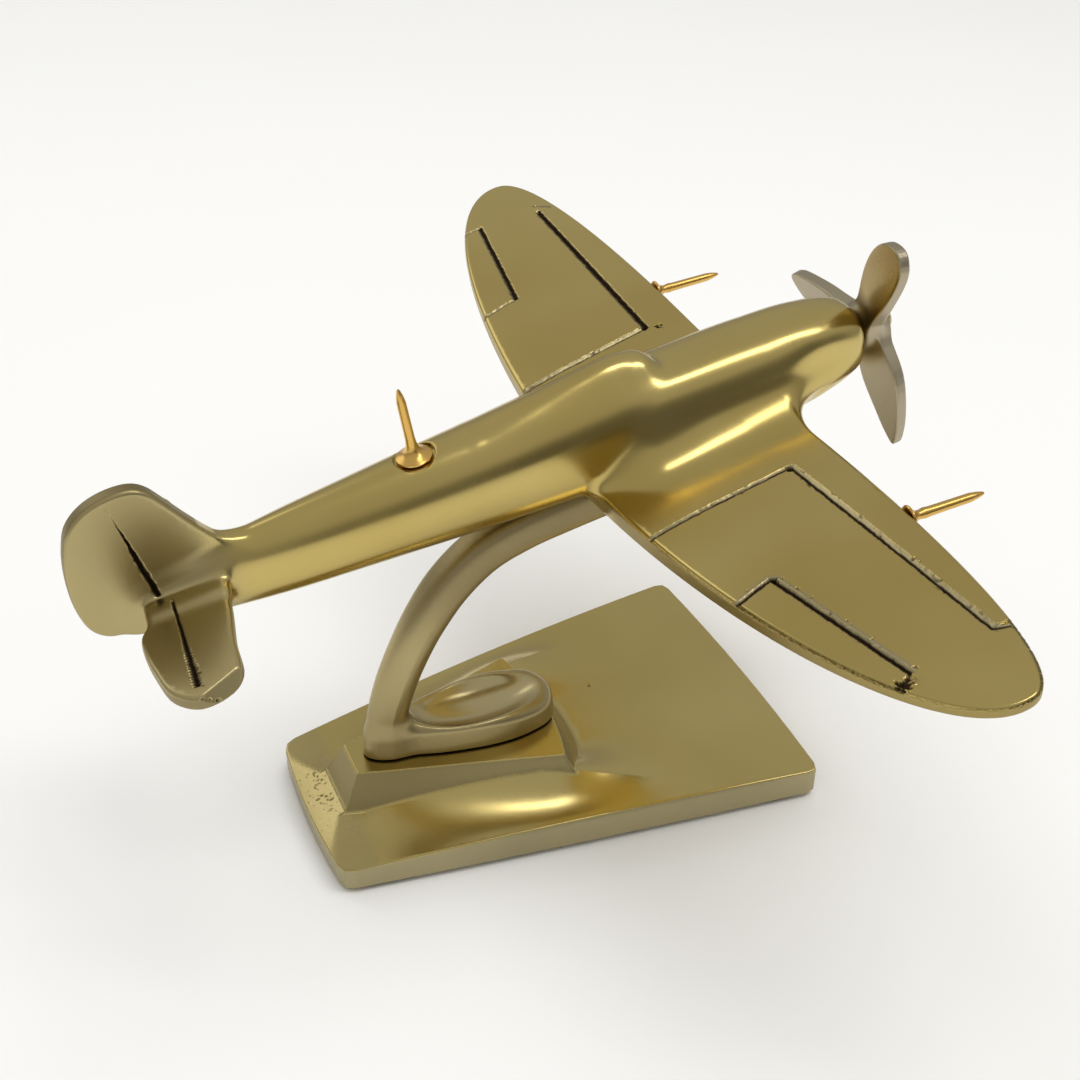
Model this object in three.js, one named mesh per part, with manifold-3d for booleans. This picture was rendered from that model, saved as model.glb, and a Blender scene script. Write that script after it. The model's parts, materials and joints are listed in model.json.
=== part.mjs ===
// Desk ornament: a propeller plane cast in brass, climbing on a curved arm over a
// tapered base. Millimetres, +Z up. The nose points along -Y and the wings lie along X,
// with the plane's own left (port) wing at +X. The origin is the middle of the underside.
import * as THREE from 'three';
import { mergeVertices } from 'three/addons/utils/BufferGeometryUtils.js';
import Module from 'manifold-3d';

const wasm = await Module();
wasm.setup();

// ---- driving dimensions ------------------------------------------------------------
const GAP = 0.3; // running or fitting gap between neighbouring pieces

// The plane's own frame: origin on the thrust axis, X to port, Y aft, Z up.
const CLIMB = THREE.MathUtils.degToRad(9); // nose-up angle of the thrust axis
const CRAFT_ORIGIN = [0, -29.4, 103.2];

const NOSE_Y = -57.6;
const SPAN = 250;
const TIP_OVERRUN = 0.4; // the planform curves would meet this far past the blunt tip
const WING_MID_Y = -13.5; // where the leading and trailing edges meet at the tips
const WING_FORE = 17.1; // leading edge ahead of WING_MID_Y at the root
const WING_AFT = 33.3; // trailing edge behind it
const WING_ROOT_Z = -10.3; // middle of the wing's thickness, at the root
const WING_RISE = 0.096; // dihedral, rise per millimetre of span
const WING_TILT = 0.0735; // incidence, rise per millimetre forward
const WING_ROOT_THICK = 8.6;
const WING_TIP_THICK = 4.2;

const TAIL_THICK = 3.8;
const TAIL_Z = 0.4;
const FIN_THICK = 4.2;

const GROOVE_WIDE = 1.0;
const GROOVE_DEEP = 0.8;

const SPINDLE_RADIUS = 1.4;
const PROP_BACK_Y = NOSE_Y - 1.3;
const PROP_THICK = 7;
const PROP_HUB_RADIUS = 4.8;
const PROP_RADIUS = 32;
const WASHER_THICK = 0.6;

const NAIL_SHANK_RADIUS = 1.15;
const MAST_Y = 57.7;
const MAST_LENGTH = 18.6;
const MAST_HEAD_RADIUS = 4.3;
const GUN_LENGTH = 19;
const GUN_HEAD_RADIUS = 2.9;
const GUN_LEFT_X = 52.5; // the two nails were drilled by hand, so they aren't a mirror pair
const GUN_RIGHT_X = -65;
const GUN_STANDOFF = 0.1; // the heads sit this far ahead of the leading edge

const FELT_THICK = 1;
const PLATE_BOTTOM = FELT_THICK + GAP;
const PLATE_TOP = 7.8; // at the rear edge
const PLATE_FRONT_RISE = 1.4; // the plate is this much thicker in front
const PLATE_CROWN = 1.5; // and its upper face swells by this much halfway along
const PLATE_HALF_LENGTH = 62.6;
const PLATE_REAR_HALF_WIDTH = 25.2;
const PLATE_FRONT_HALF_WIDTH = 44;
const PLATE_END_BOW = 1.5; // how far the front and rear edges swell outward
const PLATE_SIDE_BOW = 0.6; // and the two sides
const PLATE_WALL = 4;
const PLINTH_TOP = 19.5;
const BOSS_BOTTOM = 6.5;
const BOSS_RADIUS = 5.5;

const FOOT_BOTTOM = PLINTH_TOP + GAP;
const FOOT_HEIGHT = 8.6;
const FOOT_BEVEL = 1.6;
const ARM_HALF_WIDTH = 5;
const ARM_THICK = 10.4;

const FOOT_SCREW_RADIUS = 2;
const FOOT_SCREW_PLACES = { front: { y: 1, top: 24.4 }, rear: { y: 39.5, top: 32 } };
const BELLY_SCREW_RADIUS = 1.5;
const BELLY_SCREW_PLACES = { front: 14, rear: 31 };
const BELLY_SCREW_SEAT_Z = -19.4;
const BELLY_SCREW_TOP_Z = -5.5;

// ---- materials ---------------------------------------------------------------------
function material(color, roughness, metalness) {
  return new THREE.MeshStandardMaterial({ color, roughness, metalness });
}
const POLISHED_BRASS = material(0xa8924a, 0.25, 1);
const BRUSHED_BRASS = material(0xa1926a, 0.4, 1);
const NAIL_BRASS = material(0xc39a3c, 0.3, 1);
const STEEL = material(0x8c8c8a, 0.35, 1);
const FELT = material(0x23372b, 0.95, 0);

// ---- solids ------------------------------------------------------------------------
function toSolid(geometry) {
  const bare = geometry.clone();
  bare.deleteAttribute('normal');
  bare.deleteAttribute('uv');
  const merged = mergeVertices(bare, 1e-4);
  return new wasm.Manifold(new wasm.Mesh({
    numProp: 3,
    vertProperties: new Float32Array(merged.attributes.position.array),
    triVerts: new Uint32Array(merged.index.array),
  }));
}

function toGeometry(solid) {
  const mesh = solid.getMesh();
  const geometry = new THREE.BufferGeometry();
  geometry.setAttribute('position', new THREE.BufferAttribute(mesh.vertProperties, 3));
  geometry.setIndex(new THREE.BufferAttribute(mesh.triVerts, 1));
  return geometry;
}

function join(...solids) {
  return solids.reduce((whole, solid) => whole.add(solid));
}

function cut(solid, ...tools) {
  return tools.reduce((rest, tool) => rest.subtract(tool), solid);
}

// Bends a closed cylinder into a loft. place(along, angle, rim) gives the point for a
// place along the loft (0 to 1), an angle round the section, and 1 on the skin or 0 at
// the middle of an end.
function loft(sides, steps, place) {
  const geometry = new THREE.CylinderGeometry(1, 1, 1, sides, steps);
  const position = geometry.attributes.position;
  for (let i = 0; i < position.count; i += 1) {
    const rim = Math.round(Math.hypot(position.getX(i), position.getZ(i)));
    const turn = Math.atan2(position.getX(i), position.getZ(i)) / (2 * Math.PI);
    const angle = 2 * Math.PI * (Math.round(turn * sides) / sides);
    position.setXYZ(i, ...place(position.getY(i) + 0.5, angle, rim));
  }
  return toSolid(geometry);
}

// A round rod along Y from y0 to y1, with its middle at x, z.
function rodAlongY(radius, y0, y1, x, z, sides = 16) {
  const geometry = new THREE.CylinderGeometry(radius, radius, y1 - y0, sides);
  geometry.translate(x, (y0 + y1) / 2, z);
  return toSolid(geometry);
}

// A round rod along Z from z0 to z1.
function rodAlongZ(radius, z0, z1, x, y, sides = 16) {
  const geometry = new THREE.CylinderGeometry(radius, radius, z1 - z0, sides);
  geometry.rotateX(Math.PI / 2);
  geometry.translate(x, y, (z0 + z1) / 2);
  return toSolid(geometry);
}

// A turned piece standing along +Z: outline is [radius, height] from the axis to the axis.
function turned(outline, sides = 16) {
  const geometry = new THREE.LatheGeometry(outline.map(([r, z]) => new THREE.Vector2(r, z)), sides);
  geometry.rotateX(Math.PI / 2);
  return geometry;
}

function smoothOutline(points, divisions) {
  const curve = new THREE.CatmullRomCurve3(
    points.map(([a, b]) => new THREE.Vector3(a, b, 0)), true, 'centripetal');
  return new THREE.Shape(curve.getPoints(divisions).slice(0, divisions)
    .map((p) => new THREE.Vector2(p.x, p.y)));
}

// A flat plate with rounded rims: the outline keeps its size, the rim is rounded inward.
function roundedPlate(shape, thick, segments = 3) {
  const round = thick / 2 - 0.1;
  return new THREE.ExtrudeGeometry(shape, {
    depth: 0.2,
    bevelEnabled: true,
    bevelThickness: round,
    bevelSize: round,
    bevelOffset: -round,
    bevelSegments: segments,
    steps: 1,
  }).translate(0, 0, -0.1);
}

// ---- airframe ----------------------------------------------------------------------
// Distance aft, half width, top and bottom of the fuselage at each station.
const FUSELAGE_STATIONS = [
  [NOSE_Y, 7.6, 7.8, -7.8],
  [-54, 8.9, 9.2, -9.2],
  [-45, 10.3, 11, -11.4],
  [-30, 11.2, 12, -12.7],
  [-8, 11.7, 12.3, -13.2],
  [20, 11.8, 13, -13.2],
  [42, 11.2, 13, -12.8],
  [58, 10.2, 12.3, -12],
  [75, 8.8, 11.2, -11],
  [92, 7.2, 10.2, -10],
  [106, 5.2, 9.3, -9],
  [119, 2.6, 7.6, -7.2],
];
const fuselageSize = new THREE.CubicInterpolant(
  FUSELAGE_STATIONS.map((row) => row[0]), FUSELAGE_STATIONS.flatMap((row) => row.slice(1)), 3);

function fuselage(swell = 0) {
  const tail = FUSELAGE_STATIONS.at(-1)[0];
  return loft(20, 20, (along, angle, rim) => {
    const y = THREE.MathUtils.lerp(NOSE_Y, tail, along);
    const [halfWidth, top, bottom] = fuselageSize.evaluate(y);
    const middle = (top + bottom) / 2;
    const halfHeight = (top - bottom) / 2 + swell;
    const side = Math.sign(Math.sin(angle)) * Math.abs(Math.sin(angle)) ** 0.85;
    return [rim * (halfWidth + swell) * side, y, middle + rim * halfHeight * Math.cos(angle)];
  });
}

// The canopy hump, from the windscreen back to where it fades into the spine.
function canopy() {
  const geometry = new THREE.SphereGeometry(1, 16, 10);
  geometry.rotateX(Math.PI / 2);
  geometry.scale(7.4, 24, 9.6);
  geometry.translate(0, 18, 8);
  return toSolid(geometry);
}

function wingMiddleZ(x, y) {
  return WING_ROOT_Z + WING_RISE * Math.abs(x) - WING_TILT * (y - WING_MID_Y);
}

function wingLeadingY(x) {
  const out = Math.abs(x) / (SPAN / 2 + TIP_OVERRUN);
  return WING_MID_Y - WING_FORE * (1 - out ** 2.5) ** 0.4;
}

function wingTrailingY(x) {
  const out = Math.abs(x) / (SPAN / 2 + TIP_OVERRUN);
  return WING_MID_Y + WING_AFT * (1 - out ** 2) ** 0.5;
}

// One wing across the whole span, with blunt edges and rounded tips.
function wing(swell = 0) {
  const reach = SPAN / 2;
  return loft(16, 30, (along, angle, rim) => {
    const x = -reach * Math.cos(Math.PI * along);
    const thick = THREE.MathUtils.lerp(WING_ROOT_THICK, WING_TIP_THICK, Math.abs(x) / reach);
    const back = 0.5 - 0.5 * rim * Math.cos(angle);
    const y = THREE.MathUtils.lerp(wingLeadingY(x), wingTrailingY(x), back);
    const bulge = Math.sign(Math.sin(angle)) * Math.abs(Math.sin(angle)) ** 0.6;
    return [x, y, wingMiddleZ(x, y) - rim * bulge * (thick / 2 + swell)];
  });
}

function tailplane() {
  const half = [[5, 107], [12.8, 107.8], [23.7, 109.9], [33.6, 111.2], [37.2, 114.6], [38, 121.5], [33.5, 126.2],
    [25, 128], [18, 128.5], [12.5, 127.8], [9, 125.2]];
  const other = half.map(([x, y]) => [-x, y]).reverse();
  const geometry = roundedPlate(smoothOutline([...half, ...other], 36), TAIL_THICK, 2);
  geometry.translate(0, 0, TAIL_Z);
  return toSolid(geometry);
}

// Fin and rudder in one plate, drawn as [aft, up] and turned upright.
function fin() {
  const outline = [[99, 6], [105, 11.9], [109.2, 18.2], [112.8, 24.5], [115.5, 28.7], [118.2, 30.6], [123.4, 31.2],
    [129.2, 29.8], [133.6, 26.5], [136, 21.7], [137.8, 15], [138.5, 7.2], [137.3, 0], [134.5, -3.2], [131, -4.4],
    [126.6, -5.8], [113, -5]];
  const geometry = roundedPlate(smoothOutline(outline, 32), FIN_THICK, 2);
  geometry.rotateY(Math.PI / 2).rotateX(Math.PI / 2);
  return toSolid(geometry);
}

// A shallow straight groove in the wing's upper skin, between two [x, y] places.
function wingGroove(from, to, skin) {
  const start = new THREE.Vector3(from[0], from[1], wingMiddleZ(...from) + skin);
  const end = new THREE.Vector3(to[0], to[1], wingMiddleZ(...to) + skin);
  const geometry = new THREE.BoxGeometry(start.distanceTo(end) + GROOVE_WIDE, GROOVE_WIDE, 2 * GROOVE_DEEP);
  const middle = start.clone().lerp(end, 0.5);
  const turn = new THREE.Quaternion().setFromUnitVectors(
    new THREE.Vector3(1, 0, 0), end.clone().sub(start).normalize());
  geometry.applyQuaternion(turn).translate(middle.x, middle.y, middle.z);
  return toSolid(geometry);
}

// The cast panel lines of one wing: root line, front line and three sides of the aileron.
function wingGrooves(side) {
  const rootIn = [side * 35.2, 17.5];
  const rootOut = [side * 35.4, -18.5];
  const tipFront = [side * 105.6, -19.9];
  const hingeOut = [side * 106.2, -1.3];
  const hingeIn = [side * 67, 5.4];
  return [
    wingGroove(rootIn, rootOut, 3.4),
    wingGroove(rootOut, tipFront, 3),
    wingGroove([side * 108, 2.5], hingeOut, 2),
    wingGroove(hingeOut, hingeIn, 2.6),
    wingGroove(hingeIn, [side * 68, 14.9], 2.9),
  ];
}

// The hinge lines of elevator and rudder, cut from both faces.
function tailGrooves() {
  const cuts = [];
  for (const side of [1, -1]) {
    for (const face of [1, -1]) {
      const elevator = new THREE.BoxGeometry(27, GROOVE_WIDE, GROOVE_DEEP);
      elevator.translate(side * 20, 121.2, TAIL_Z + face * TAIL_THICK / 2);
      cuts.push(toSolid(elevator));
    }
    const rudder = new THREE.BoxGeometry(GROOVE_DEEP, GROOVE_WIDE, 24);
    rudder.rotateX(0.09).translate(side * FIN_THICK / 2, 122.8, 14.5);
    cuts.push(toSolid(rudder));
  }
  return cuts;
}

function gunPlace(x) {
  return { x, y: wingLeadingY(x), z: wingMiddleZ(x, wingLeadingY(x)) };
}

function mastHeadZ() {
  return fuselageSize.evaluate(MAST_Y)[1] - 0.9;
}

function airframeCasting() {
  const holes = [
    rodAlongY(SPINDLE_RADIUS + GAP, NOSE_Y - 1, NOSE_Y + 14, 0, 0),
    rodAlongZ(MAST_HEAD_RADIUS + 0.6, mastHeadZ() - GAP, mastHeadZ() + 5, 0, MAST_Y, 20),
  ];
  for (const x of [GUN_LEFT_X, GUN_RIGHT_X]) {
    const { y, z } = gunPlace(x);
    holes.push(rodAlongY(GUN_HEAD_RADIUS + GAP, y - 3, y - GUN_STANDOFF + GAP, x, z));
  }
  for (const y of Object.values(BELLY_SCREW_PLACES)) {
    holes.push(rodAlongZ(BELLY_SCREW_RADIUS + GAP, -20, BELLY_SCREW_TOP_Z + GAP, 0, y));
  }
  const skin = join(fuselage(), canopy(), wing(), tailplane(), fin());
  return toGeometry(cut(skin, ...wingGrooves(1), ...wingGrooves(-1), ...tailGrooves(), ...holes));
}

// ---- propeller, spindle and washer ----------------------------------------------------
// Each blade's angle round the hub and its length; they were filed by hand and differ a little.
const BLADES = [[-3, 33.6], [119, 30.4], [246, PROP_RADIUS]];
const BLADE_CHORD = new THREE.CubicInterpolant(
  [0, 0.19, 0.44, 0.7, 0.9, 1].map((share) => share * PROP_RADIUS), [8, 9.8, 12, 10.4, 6.8, 2.4], 1);

// One twisted blade standing along +Z from the hub's middle.
function blade(length) {
  return loft(10, 9, (along, angle, rim) => {
    const out = length * (0.05 + 0.95 * Math.sin(along * Math.PI / 2));
    const share = out / length;
    const chord = BLADE_CHORD.evaluate(share * PROP_RADIUS)[0];
    const thick = THREE.MathUtils.lerp(4.6, 2.9, share);
    const pitch = THREE.MathUtils.degToRad(THREE.MathUtils.lerp(16, 8, share));
    const wide = rim * Math.cos(angle) * chord / 2;
    const deep = rim * Math.sin(angle) * thick / 2;
    const sweep = 1.6 * Math.sin(Math.PI * share);
    return [
      wide * Math.cos(pitch) + deep * Math.sin(pitch) + sweep,
      deep * Math.cos(pitch) - wide * Math.sin(pitch),
      out,
    ];
  });
}

function propeller() {
  const front = -PROP_THICK / 2;
  const hub = toSolid(turned([
    [0, front], [PROP_HUB_RADIUS - 1.2, front], [PROP_HUB_RADIUS, front + 1.4],
    [PROP_HUB_RADIUS, -front - 1.4], [PROP_HUB_RADIUS - 1.2, -front], [0, -front],
  ]).rotateX(-Math.PI / 2));
  const blades = BLADES.map(([degrees, length]) => {
    const turn = [0, THREE.MathUtils.degToRad(90 - degrees), 0];
    const matrix = new THREE.Matrix4().makeRotationFromEuler(new THREE.Euler(...turn));
    return toSolid(toGeometry(blade(length)).applyMatrix4(matrix));
  });
  const bore = rodAlongY(SPINDLE_RADIUS + GAP, -PROP_THICK, PROP_THICK, 0, 0);
  return toGeometry(cut(join(hub, ...blades), bore));
}

// Turned along -Y: a domed head in front of the hub and a shank pressed into the nose.
function propellerSpindle() {
  const seat = PROP_BACK_Y - PROP_THICK - GAP;
  const head = PROP_HUB_RADIUS - 1.2;
  const dome = [0, 1, 2, 3, 4].map((i) => {
    const a = i * Math.PI / 8;
    return [head * Math.cos(a), 2.6 * Math.sin(a)];
  });
  const outline = [[0, seat - (NOSE_Y + 13)], [SPINDLE_RADIUS, seat - (NOSE_Y + 13)], [SPINDLE_RADIUS, 0],
    ...dome.slice(0, 4), [0, 2.6]];
  return turned(outline).rotateX(Math.PI / 2).translate(0, seat, 0);
}

function propellerWasher() {
  const inner = SPINDLE_RADIUS + GAP;
  const outer = 4;
  const half = WASHER_THICK / 2;
  const ring = [[inner, -half], [outer, -half], [outer, half], [inner, half], [inner, -half]];
  return turned(ring).rotateX(Math.PI / 2);
}

// ---- the three nails ----------------------------------------------------------------
// A nail standing on its head: flat head, flared neck, plain shank and tapered tip.
function nail(headRadius, length) {
  const r = NAIL_SHANK_RADIUS;
  return turned([
    [0, 0], [headRadius - 0.3, 0], [headRadius, 0.35], [headRadius - 0.2, 0.8], [headRadius * 0.55, 1.6],
    [r * 1.35, 3.2], [r, 5], [r, length - 4.5], [r * 0.75, length - 2], [r * 0.35, length], [0, length],
  ], 12);
}

// ---- stand arm ------------------------------------------------------------------------
// Middle line of the arm in the upright plane, as [y, z], from the foot to the belly.
const ARM_LINE = [[41, 21], [40.6, 31], [38, 40.5], [34, 49.8], [28.8, 59], [22, 67.8], [13.5, 74.6],
  [3.5, 78.4], [-8, 80.8], [-21, 83]];

function armCurve() {
  return new THREE.CatmullRomCurve3(ARM_LINE.map(([y, z]) => new THREE.Vector3(0, y, z)));
}

function armBody() {
  const curve = armCurve();
  return loft(14, 22, (along, angle, rim) => {
    const at = curve.getPointAt(along);
    const way = curve.getTangentAt(along);
    const taper = 1 - 0.35 * Math.max(0, (along - 0.85) / 0.15) ** 2;
    const wide = -rim * ARM_HALF_WIDTH * taper * Math.sin(angle);
    const deep = rim * ARM_THICK / 2 * taper * Math.cos(angle);
    return [wide, at.y + deep * way.z, at.z - deep * way.y];
  });
}

// The oval foot, dished on top like a spoon.
function armFoot() {
  const half = [[2.9, 44.8], [5, 38], [8.2, 28], [10.6, 14.5], [10.3, 6], [7.6, -1.6]];
  const other = half.map(([x, y]) => [-x, y]).reverse();
  const shape = smoothOutline([[0, 46.8], ...half, [0, -4.9], ...other], 40);
  const pad = new THREE.ExtrudeGeometry(shape, {
    depth: FOOT_HEIGHT - 2 * FOOT_BEVEL,
    bevelEnabled: true,
    bevelThickness: FOOT_BEVEL,
    bevelSize: FOOT_BEVEL,
    bevelOffset: -FOOT_BEVEL,
    bevelSegments: 2,
    steps: 1,
  }).translate(0, 0, FOOT_BOTTOM + FOOT_BEVEL);
  const dish = new THREE.SphereGeometry(1, 18, 10).scale(8.6, 17.6, 6);
  dish.translate(0, 16.2, FOOT_BOTTOM + FOOT_HEIGHT + 0.6);
  return cut(toSolid(pad), toSolid(dish));
}

function standArm(craftMatrix) {
  const belly = join(fuselage(GAP), wing(GAP));
  const saddle = toSolid(toGeometry(belly).applyMatrix4(craftMatrix));
  const holes = [];
  for (const { y, top } of Object.values(FOOT_SCREW_PLACES)) {
    holes.push(rodAlongZ(FOOT_SCREW_RADIUS + GAP, FOOT_BOTTOM - 1, top + GAP, 0, y));
  }
  for (const y of Object.values(BELLY_SCREW_PLACES)) {
    const shank = rodAlongZ(BELLY_SCREW_RADIUS + GAP, -30, 0, 0, y);
    const head = rodAlongZ(3.9, -34, BELLY_SCREW_SEAT_Z, 0, y);
    holes.push(toSolid(toGeometry(shank.add(head)).applyMatrix4(craftMatrix)));
  }
  return toGeometry(cut(join(armBody(), armFoot()), saddle, ...holes));
}

// ---- base -----------------------------------------------------------------------------
// Height of the plate's upper face: thicker in front and crowned halfway along.
function plateHeight(y) {
  const forward = (PLATE_HALF_LENGTH - y) / (2 * PLATE_HALF_LENGTH);
  return PLATE_TOP + PLATE_FRONT_RISE * forward + PLATE_CROWN * 4 * forward * (1 - forward);
}

// A block with that upper face, wider and longer than the plate, for trimming it.
function crownedBlock() {
  const reach = PLATE_HALF_LENGTH + PLATE_END_BOW + 1;
  const steps = 8;
  const shape = new THREE.Shape().moveTo(-reach, 0);
  for (let i = 0; i <= steps; i += 1) {
    const y = THREE.MathUtils.lerp(-reach, reach, i / steps);
    shape.lineTo(y, plateHeight(y));
  }
  shape.lineTo(reach, 0);
  const width = 2 * PLATE_FRONT_HALF_WIDTH + 4;
  const geometry = new THREE.ExtrudeGeometry(shape, { depth: width, bevelEnabled: false, steps: 1 });
  geometry.translate(0, 0, -width / 2);
  return toSolid(geometry.rotateY(Math.PI / 2).rotateX(Math.PI / 2));
}

// The tapered outline of the plate, with every edge swelling outward a little.
function plateShape(inset) {
  const y = PLATE_HALF_LENGTH - inset;
  const rear = PLATE_REAR_HALF_WIDTH - inset;
  const front = PLATE_FRONT_HALF_WIDTH - inset;
  const endBow = 2 * PLATE_END_BOW;
  const sideBow = 2 * PLATE_SIDE_BOW;
  const shape = new THREE.Shape();
  shape.moveTo(-rear, y);
  shape.quadraticCurveTo(-(rear + front) / 2 - sideBow, 0, -front, -y);
  shape.quadraticCurveTo(0, -y - endBow, front, -y);
  shape.quadraticCurveTo((rear + front) / 2 + sideBow, 0, rear, y);
  shape.quadraticCurveTo(0, y + endBow, -rear, y);
  return shape;
}

function plate(inset, bottom, top) {
  const geometry = new THREE.ExtrudeGeometry(plateShape(inset), {
    depth: top - bottom, bevelEnabled: false, curveSegments: 8, steps: 1,
  });
  return toSolid(geometry.translate(0, 0, bottom));
}

// The plinth under the foot: four corners at the plate and four at its top, drawn in.
function plinth(inset, bottom, top) {
  const corner = (rear, front, rearY, frontY) => [
    [rear - inset, rearY - inset], [front - inset, frontY + inset],
    [inset - front, frontY + inset], [inset - rear, rearY - inset],
  ];
  const low = corner(12.5, 30, 58, -10.5);
  const high = corner(5.6, 20.8, 51.2, -2.6);
  return loft(4, 1, (along, angle, rim) => {
    const index = (Math.round(4 * angle / (2 * Math.PI)) + 4) % 4;
    const ring = along > 0.5 ? high : low;
    const middleY = (ring[0][1] + ring[1][1]) / 2;
    const [x, y] = rim ? ring[index] : [0, middleY];
    return [-x, y, along > 0.5 ? top : bottom];
  });
}

function baseCasting() {
  const highest = PLATE_TOP + PLATE_FRONT_RISE + PLATE_CROWN;
  const slab = plate(0, PLATE_BOTTOM, highest).intersect(crownedBlock());
  const skin = join(slab, plinth(0, PLATE_TOP - 1, PLINTH_TOP));
  let hollow = join(
    plate(PLATE_WALL + 1, PLATE_BOTTOM - 1, PLATE_TOP - PLATE_WALL + 0.4),
    plinth(PLATE_WALL, PLATE_TOP - PLATE_WALL, PLINTH_TOP - PLATE_WALL),
  );
  const holes = [];
  for (const { y } of Object.values(FOOT_SCREW_PLACES)) {
    hollow = hollow.subtract(rodAlongZ(BOSS_RADIUS, BOSS_BOTTOM, PLINTH_TOP, 0, y, 20));
    holes.push(rodAlongZ(FOOT_SCREW_RADIUS + GAP, -1, PLINTH_TOP + 1, 0, y));
  }
  return toGeometry(cut(skin, hollow, ...holes));
}

function baseFelt() {
  return toGeometry(plate(1.2, 0, FELT_THICK));
}

// ---- fasteners ------------------------------------------------------------------------
// A slotted pan-head screw pointing along +Z, with its head's seat at height zero.
function screw(radius, headRadius, headHeight, length) {
  const body = toSolid(turned([
    [0, -headHeight], [headRadius - 0.8, -headHeight], [headRadius, -headHeight + 0.8], [headRadius, 0],
    [radius, 0], [radius, length - 0.8], [radius - 0.6, length], [0, length],
  ]));
  const slot = new THREE.BoxGeometry(3 * headRadius, 0.9, 1.6).translate(0, 0, -headHeight);
  return toGeometry(cut(body, toSolid(slot)));
}

function screwWasher() {
  const inner = FOOT_SCREW_RADIUS + GAP;
  return turned([[inner, 0], [4.6, 0], [4.6, 0.8], [inner, 0.8], [inner, 0]]);
}

// ---- assembly -------------------------------------------------------------------------
function place(parent, name, geometry, look, x = 0, y = 0, z = 0) {
  const mesh = new THREE.Mesh(geometry, look);
  mesh.name = name;
  mesh.position.set(x, y, z);
  parent.add(mesh);
  return mesh;
}

const ornament = new THREE.Group();
const craft = new THREE.Group();
craft.position.set(...CRAFT_ORIGIN);
craft.rotation.x = -CLIMB;
craft.updateMatrix();
ornament.add(craft);

place(craft, 'airframe_casting', airframeCasting(), POLISHED_BRASS);
place(craft, 'propeller', propeller(), BRUSHED_BRASS, 0, PROP_BACK_Y - PROP_THICK / 2, 0);
place(craft, 'propeller_spindle', propellerSpindle(), BRUSHED_BRASS);
place(craft, 'propeller_washer', propellerWasher(), NAIL_BRASS, 0, (NOSE_Y + PROP_BACK_Y) / 2, 0);
place(craft, 'aerial_mast', nail(MAST_HEAD_RADIUS, MAST_LENGTH), NAIL_BRASS, 0, MAST_Y, mastHeadZ());
for (const [name, x] of [['gun_barrel_left', GUN_LEFT_X], ['gun_barrel_right', GUN_RIGHT_X]]) {
  const { y, z } = gunPlace(x);
  const barrel = place(craft, name, nail(GUN_HEAD_RADIUS, GUN_LENGTH), NAIL_BRASS, x, y - GUN_STANDOFF, z);
  barrel.rotation.x = Math.PI / 2;
}
for (const [name, y] of Object.entries(BELLY_SCREW_PLACES)) {
  const length = BELLY_SCREW_TOP_Z - BELLY_SCREW_SEAT_Z;
  const geometry = screw(BELLY_SCREW_RADIUS, 3.2, 2.2, length);
  place(craft, `belly_screw_${name}`, geometry, STEEL, 0, y, BELLY_SCREW_SEAT_Z - GAP);
}

place(ornament, 'stand_arm', standArm(craft.matrix), BRUSHED_BRASS);
place(ornament, 'base_casting', baseCasting(), POLISHED_BRASS);
place(ornament, 'base_felt', baseFelt(), FELT);
for (const [name, { y, top }] of Object.entries(FOOT_SCREW_PLACES)) {
  const washerZ = BOSS_BOTTOM - GAP - 0.8;
  const seat = washerZ - GAP;
  place(ornament, `foot_screw_${name}`, screw(FOOT_SCREW_RADIUS, 3.6, 2.4, top - seat), STEEL, 0, y, seat);
  place(ornament, `foot_washer_${name}`, screwWasher(), STEEL, 0, y, washerZ);
}

export default ornament;
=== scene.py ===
"""Looks of a cast brass propeller-plane desk ornament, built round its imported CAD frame.

Each casting is made as a distance field: plain shapes run together with rounded fillets.
The field's skin is meshed, made finer where it bends, and then engraved. Lengths here are
millimetres. The plane's own frame has X to port, Y aft and Z up, with its origin on the
thrust axis; the frame's joint says where that is and how steeply it climbs.
"""

import itertools
import json
import math

import bpy
import numpy as np
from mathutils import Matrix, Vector


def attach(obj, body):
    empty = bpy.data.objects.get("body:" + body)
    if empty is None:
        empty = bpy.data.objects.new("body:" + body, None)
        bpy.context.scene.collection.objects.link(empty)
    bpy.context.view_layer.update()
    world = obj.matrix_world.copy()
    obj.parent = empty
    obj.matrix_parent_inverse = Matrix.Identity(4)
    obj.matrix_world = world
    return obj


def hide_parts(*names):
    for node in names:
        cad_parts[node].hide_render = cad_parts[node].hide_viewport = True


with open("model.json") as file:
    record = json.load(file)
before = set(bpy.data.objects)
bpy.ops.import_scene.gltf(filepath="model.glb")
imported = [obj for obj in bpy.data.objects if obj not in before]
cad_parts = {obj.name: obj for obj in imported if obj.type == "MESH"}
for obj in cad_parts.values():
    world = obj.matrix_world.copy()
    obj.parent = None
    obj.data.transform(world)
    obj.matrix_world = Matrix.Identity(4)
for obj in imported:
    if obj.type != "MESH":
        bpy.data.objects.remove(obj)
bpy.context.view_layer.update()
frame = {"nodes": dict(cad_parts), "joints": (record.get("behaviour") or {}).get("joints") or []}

MM = 0.001

# ---- the plane's own frame ----
PROP_Y = -62.4  # middle of the propeller along the thrust axis
JOINT = frame["joints"][0]
SPIN_AXIS = np.array(JOINT["axis"])
SPIN_PLACE = np.array(JOINT["pos_m"]) / MM
CLIMB = math.atan2(SPIN_AXIS[2], -SPIN_AXIS[1])
AFT = np.array([0, math.cos(CLIMB), -math.sin(CLIMB)])
UP = np.array([0, math.sin(CLIMB), math.cos(CLIMB)])
CRAFT_ORIGIN = SPIN_PLACE - PROP_Y * AFT


def craft_to_world(points):
    """Points or directions given as X, Y, Z in the plane's frame, turned to the row frame."""
    x = np.array([1.0, 0, 0])
    return points[:, :1] * x + points[:, 1:2] * AFT + points[:, 2:] * UP


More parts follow.
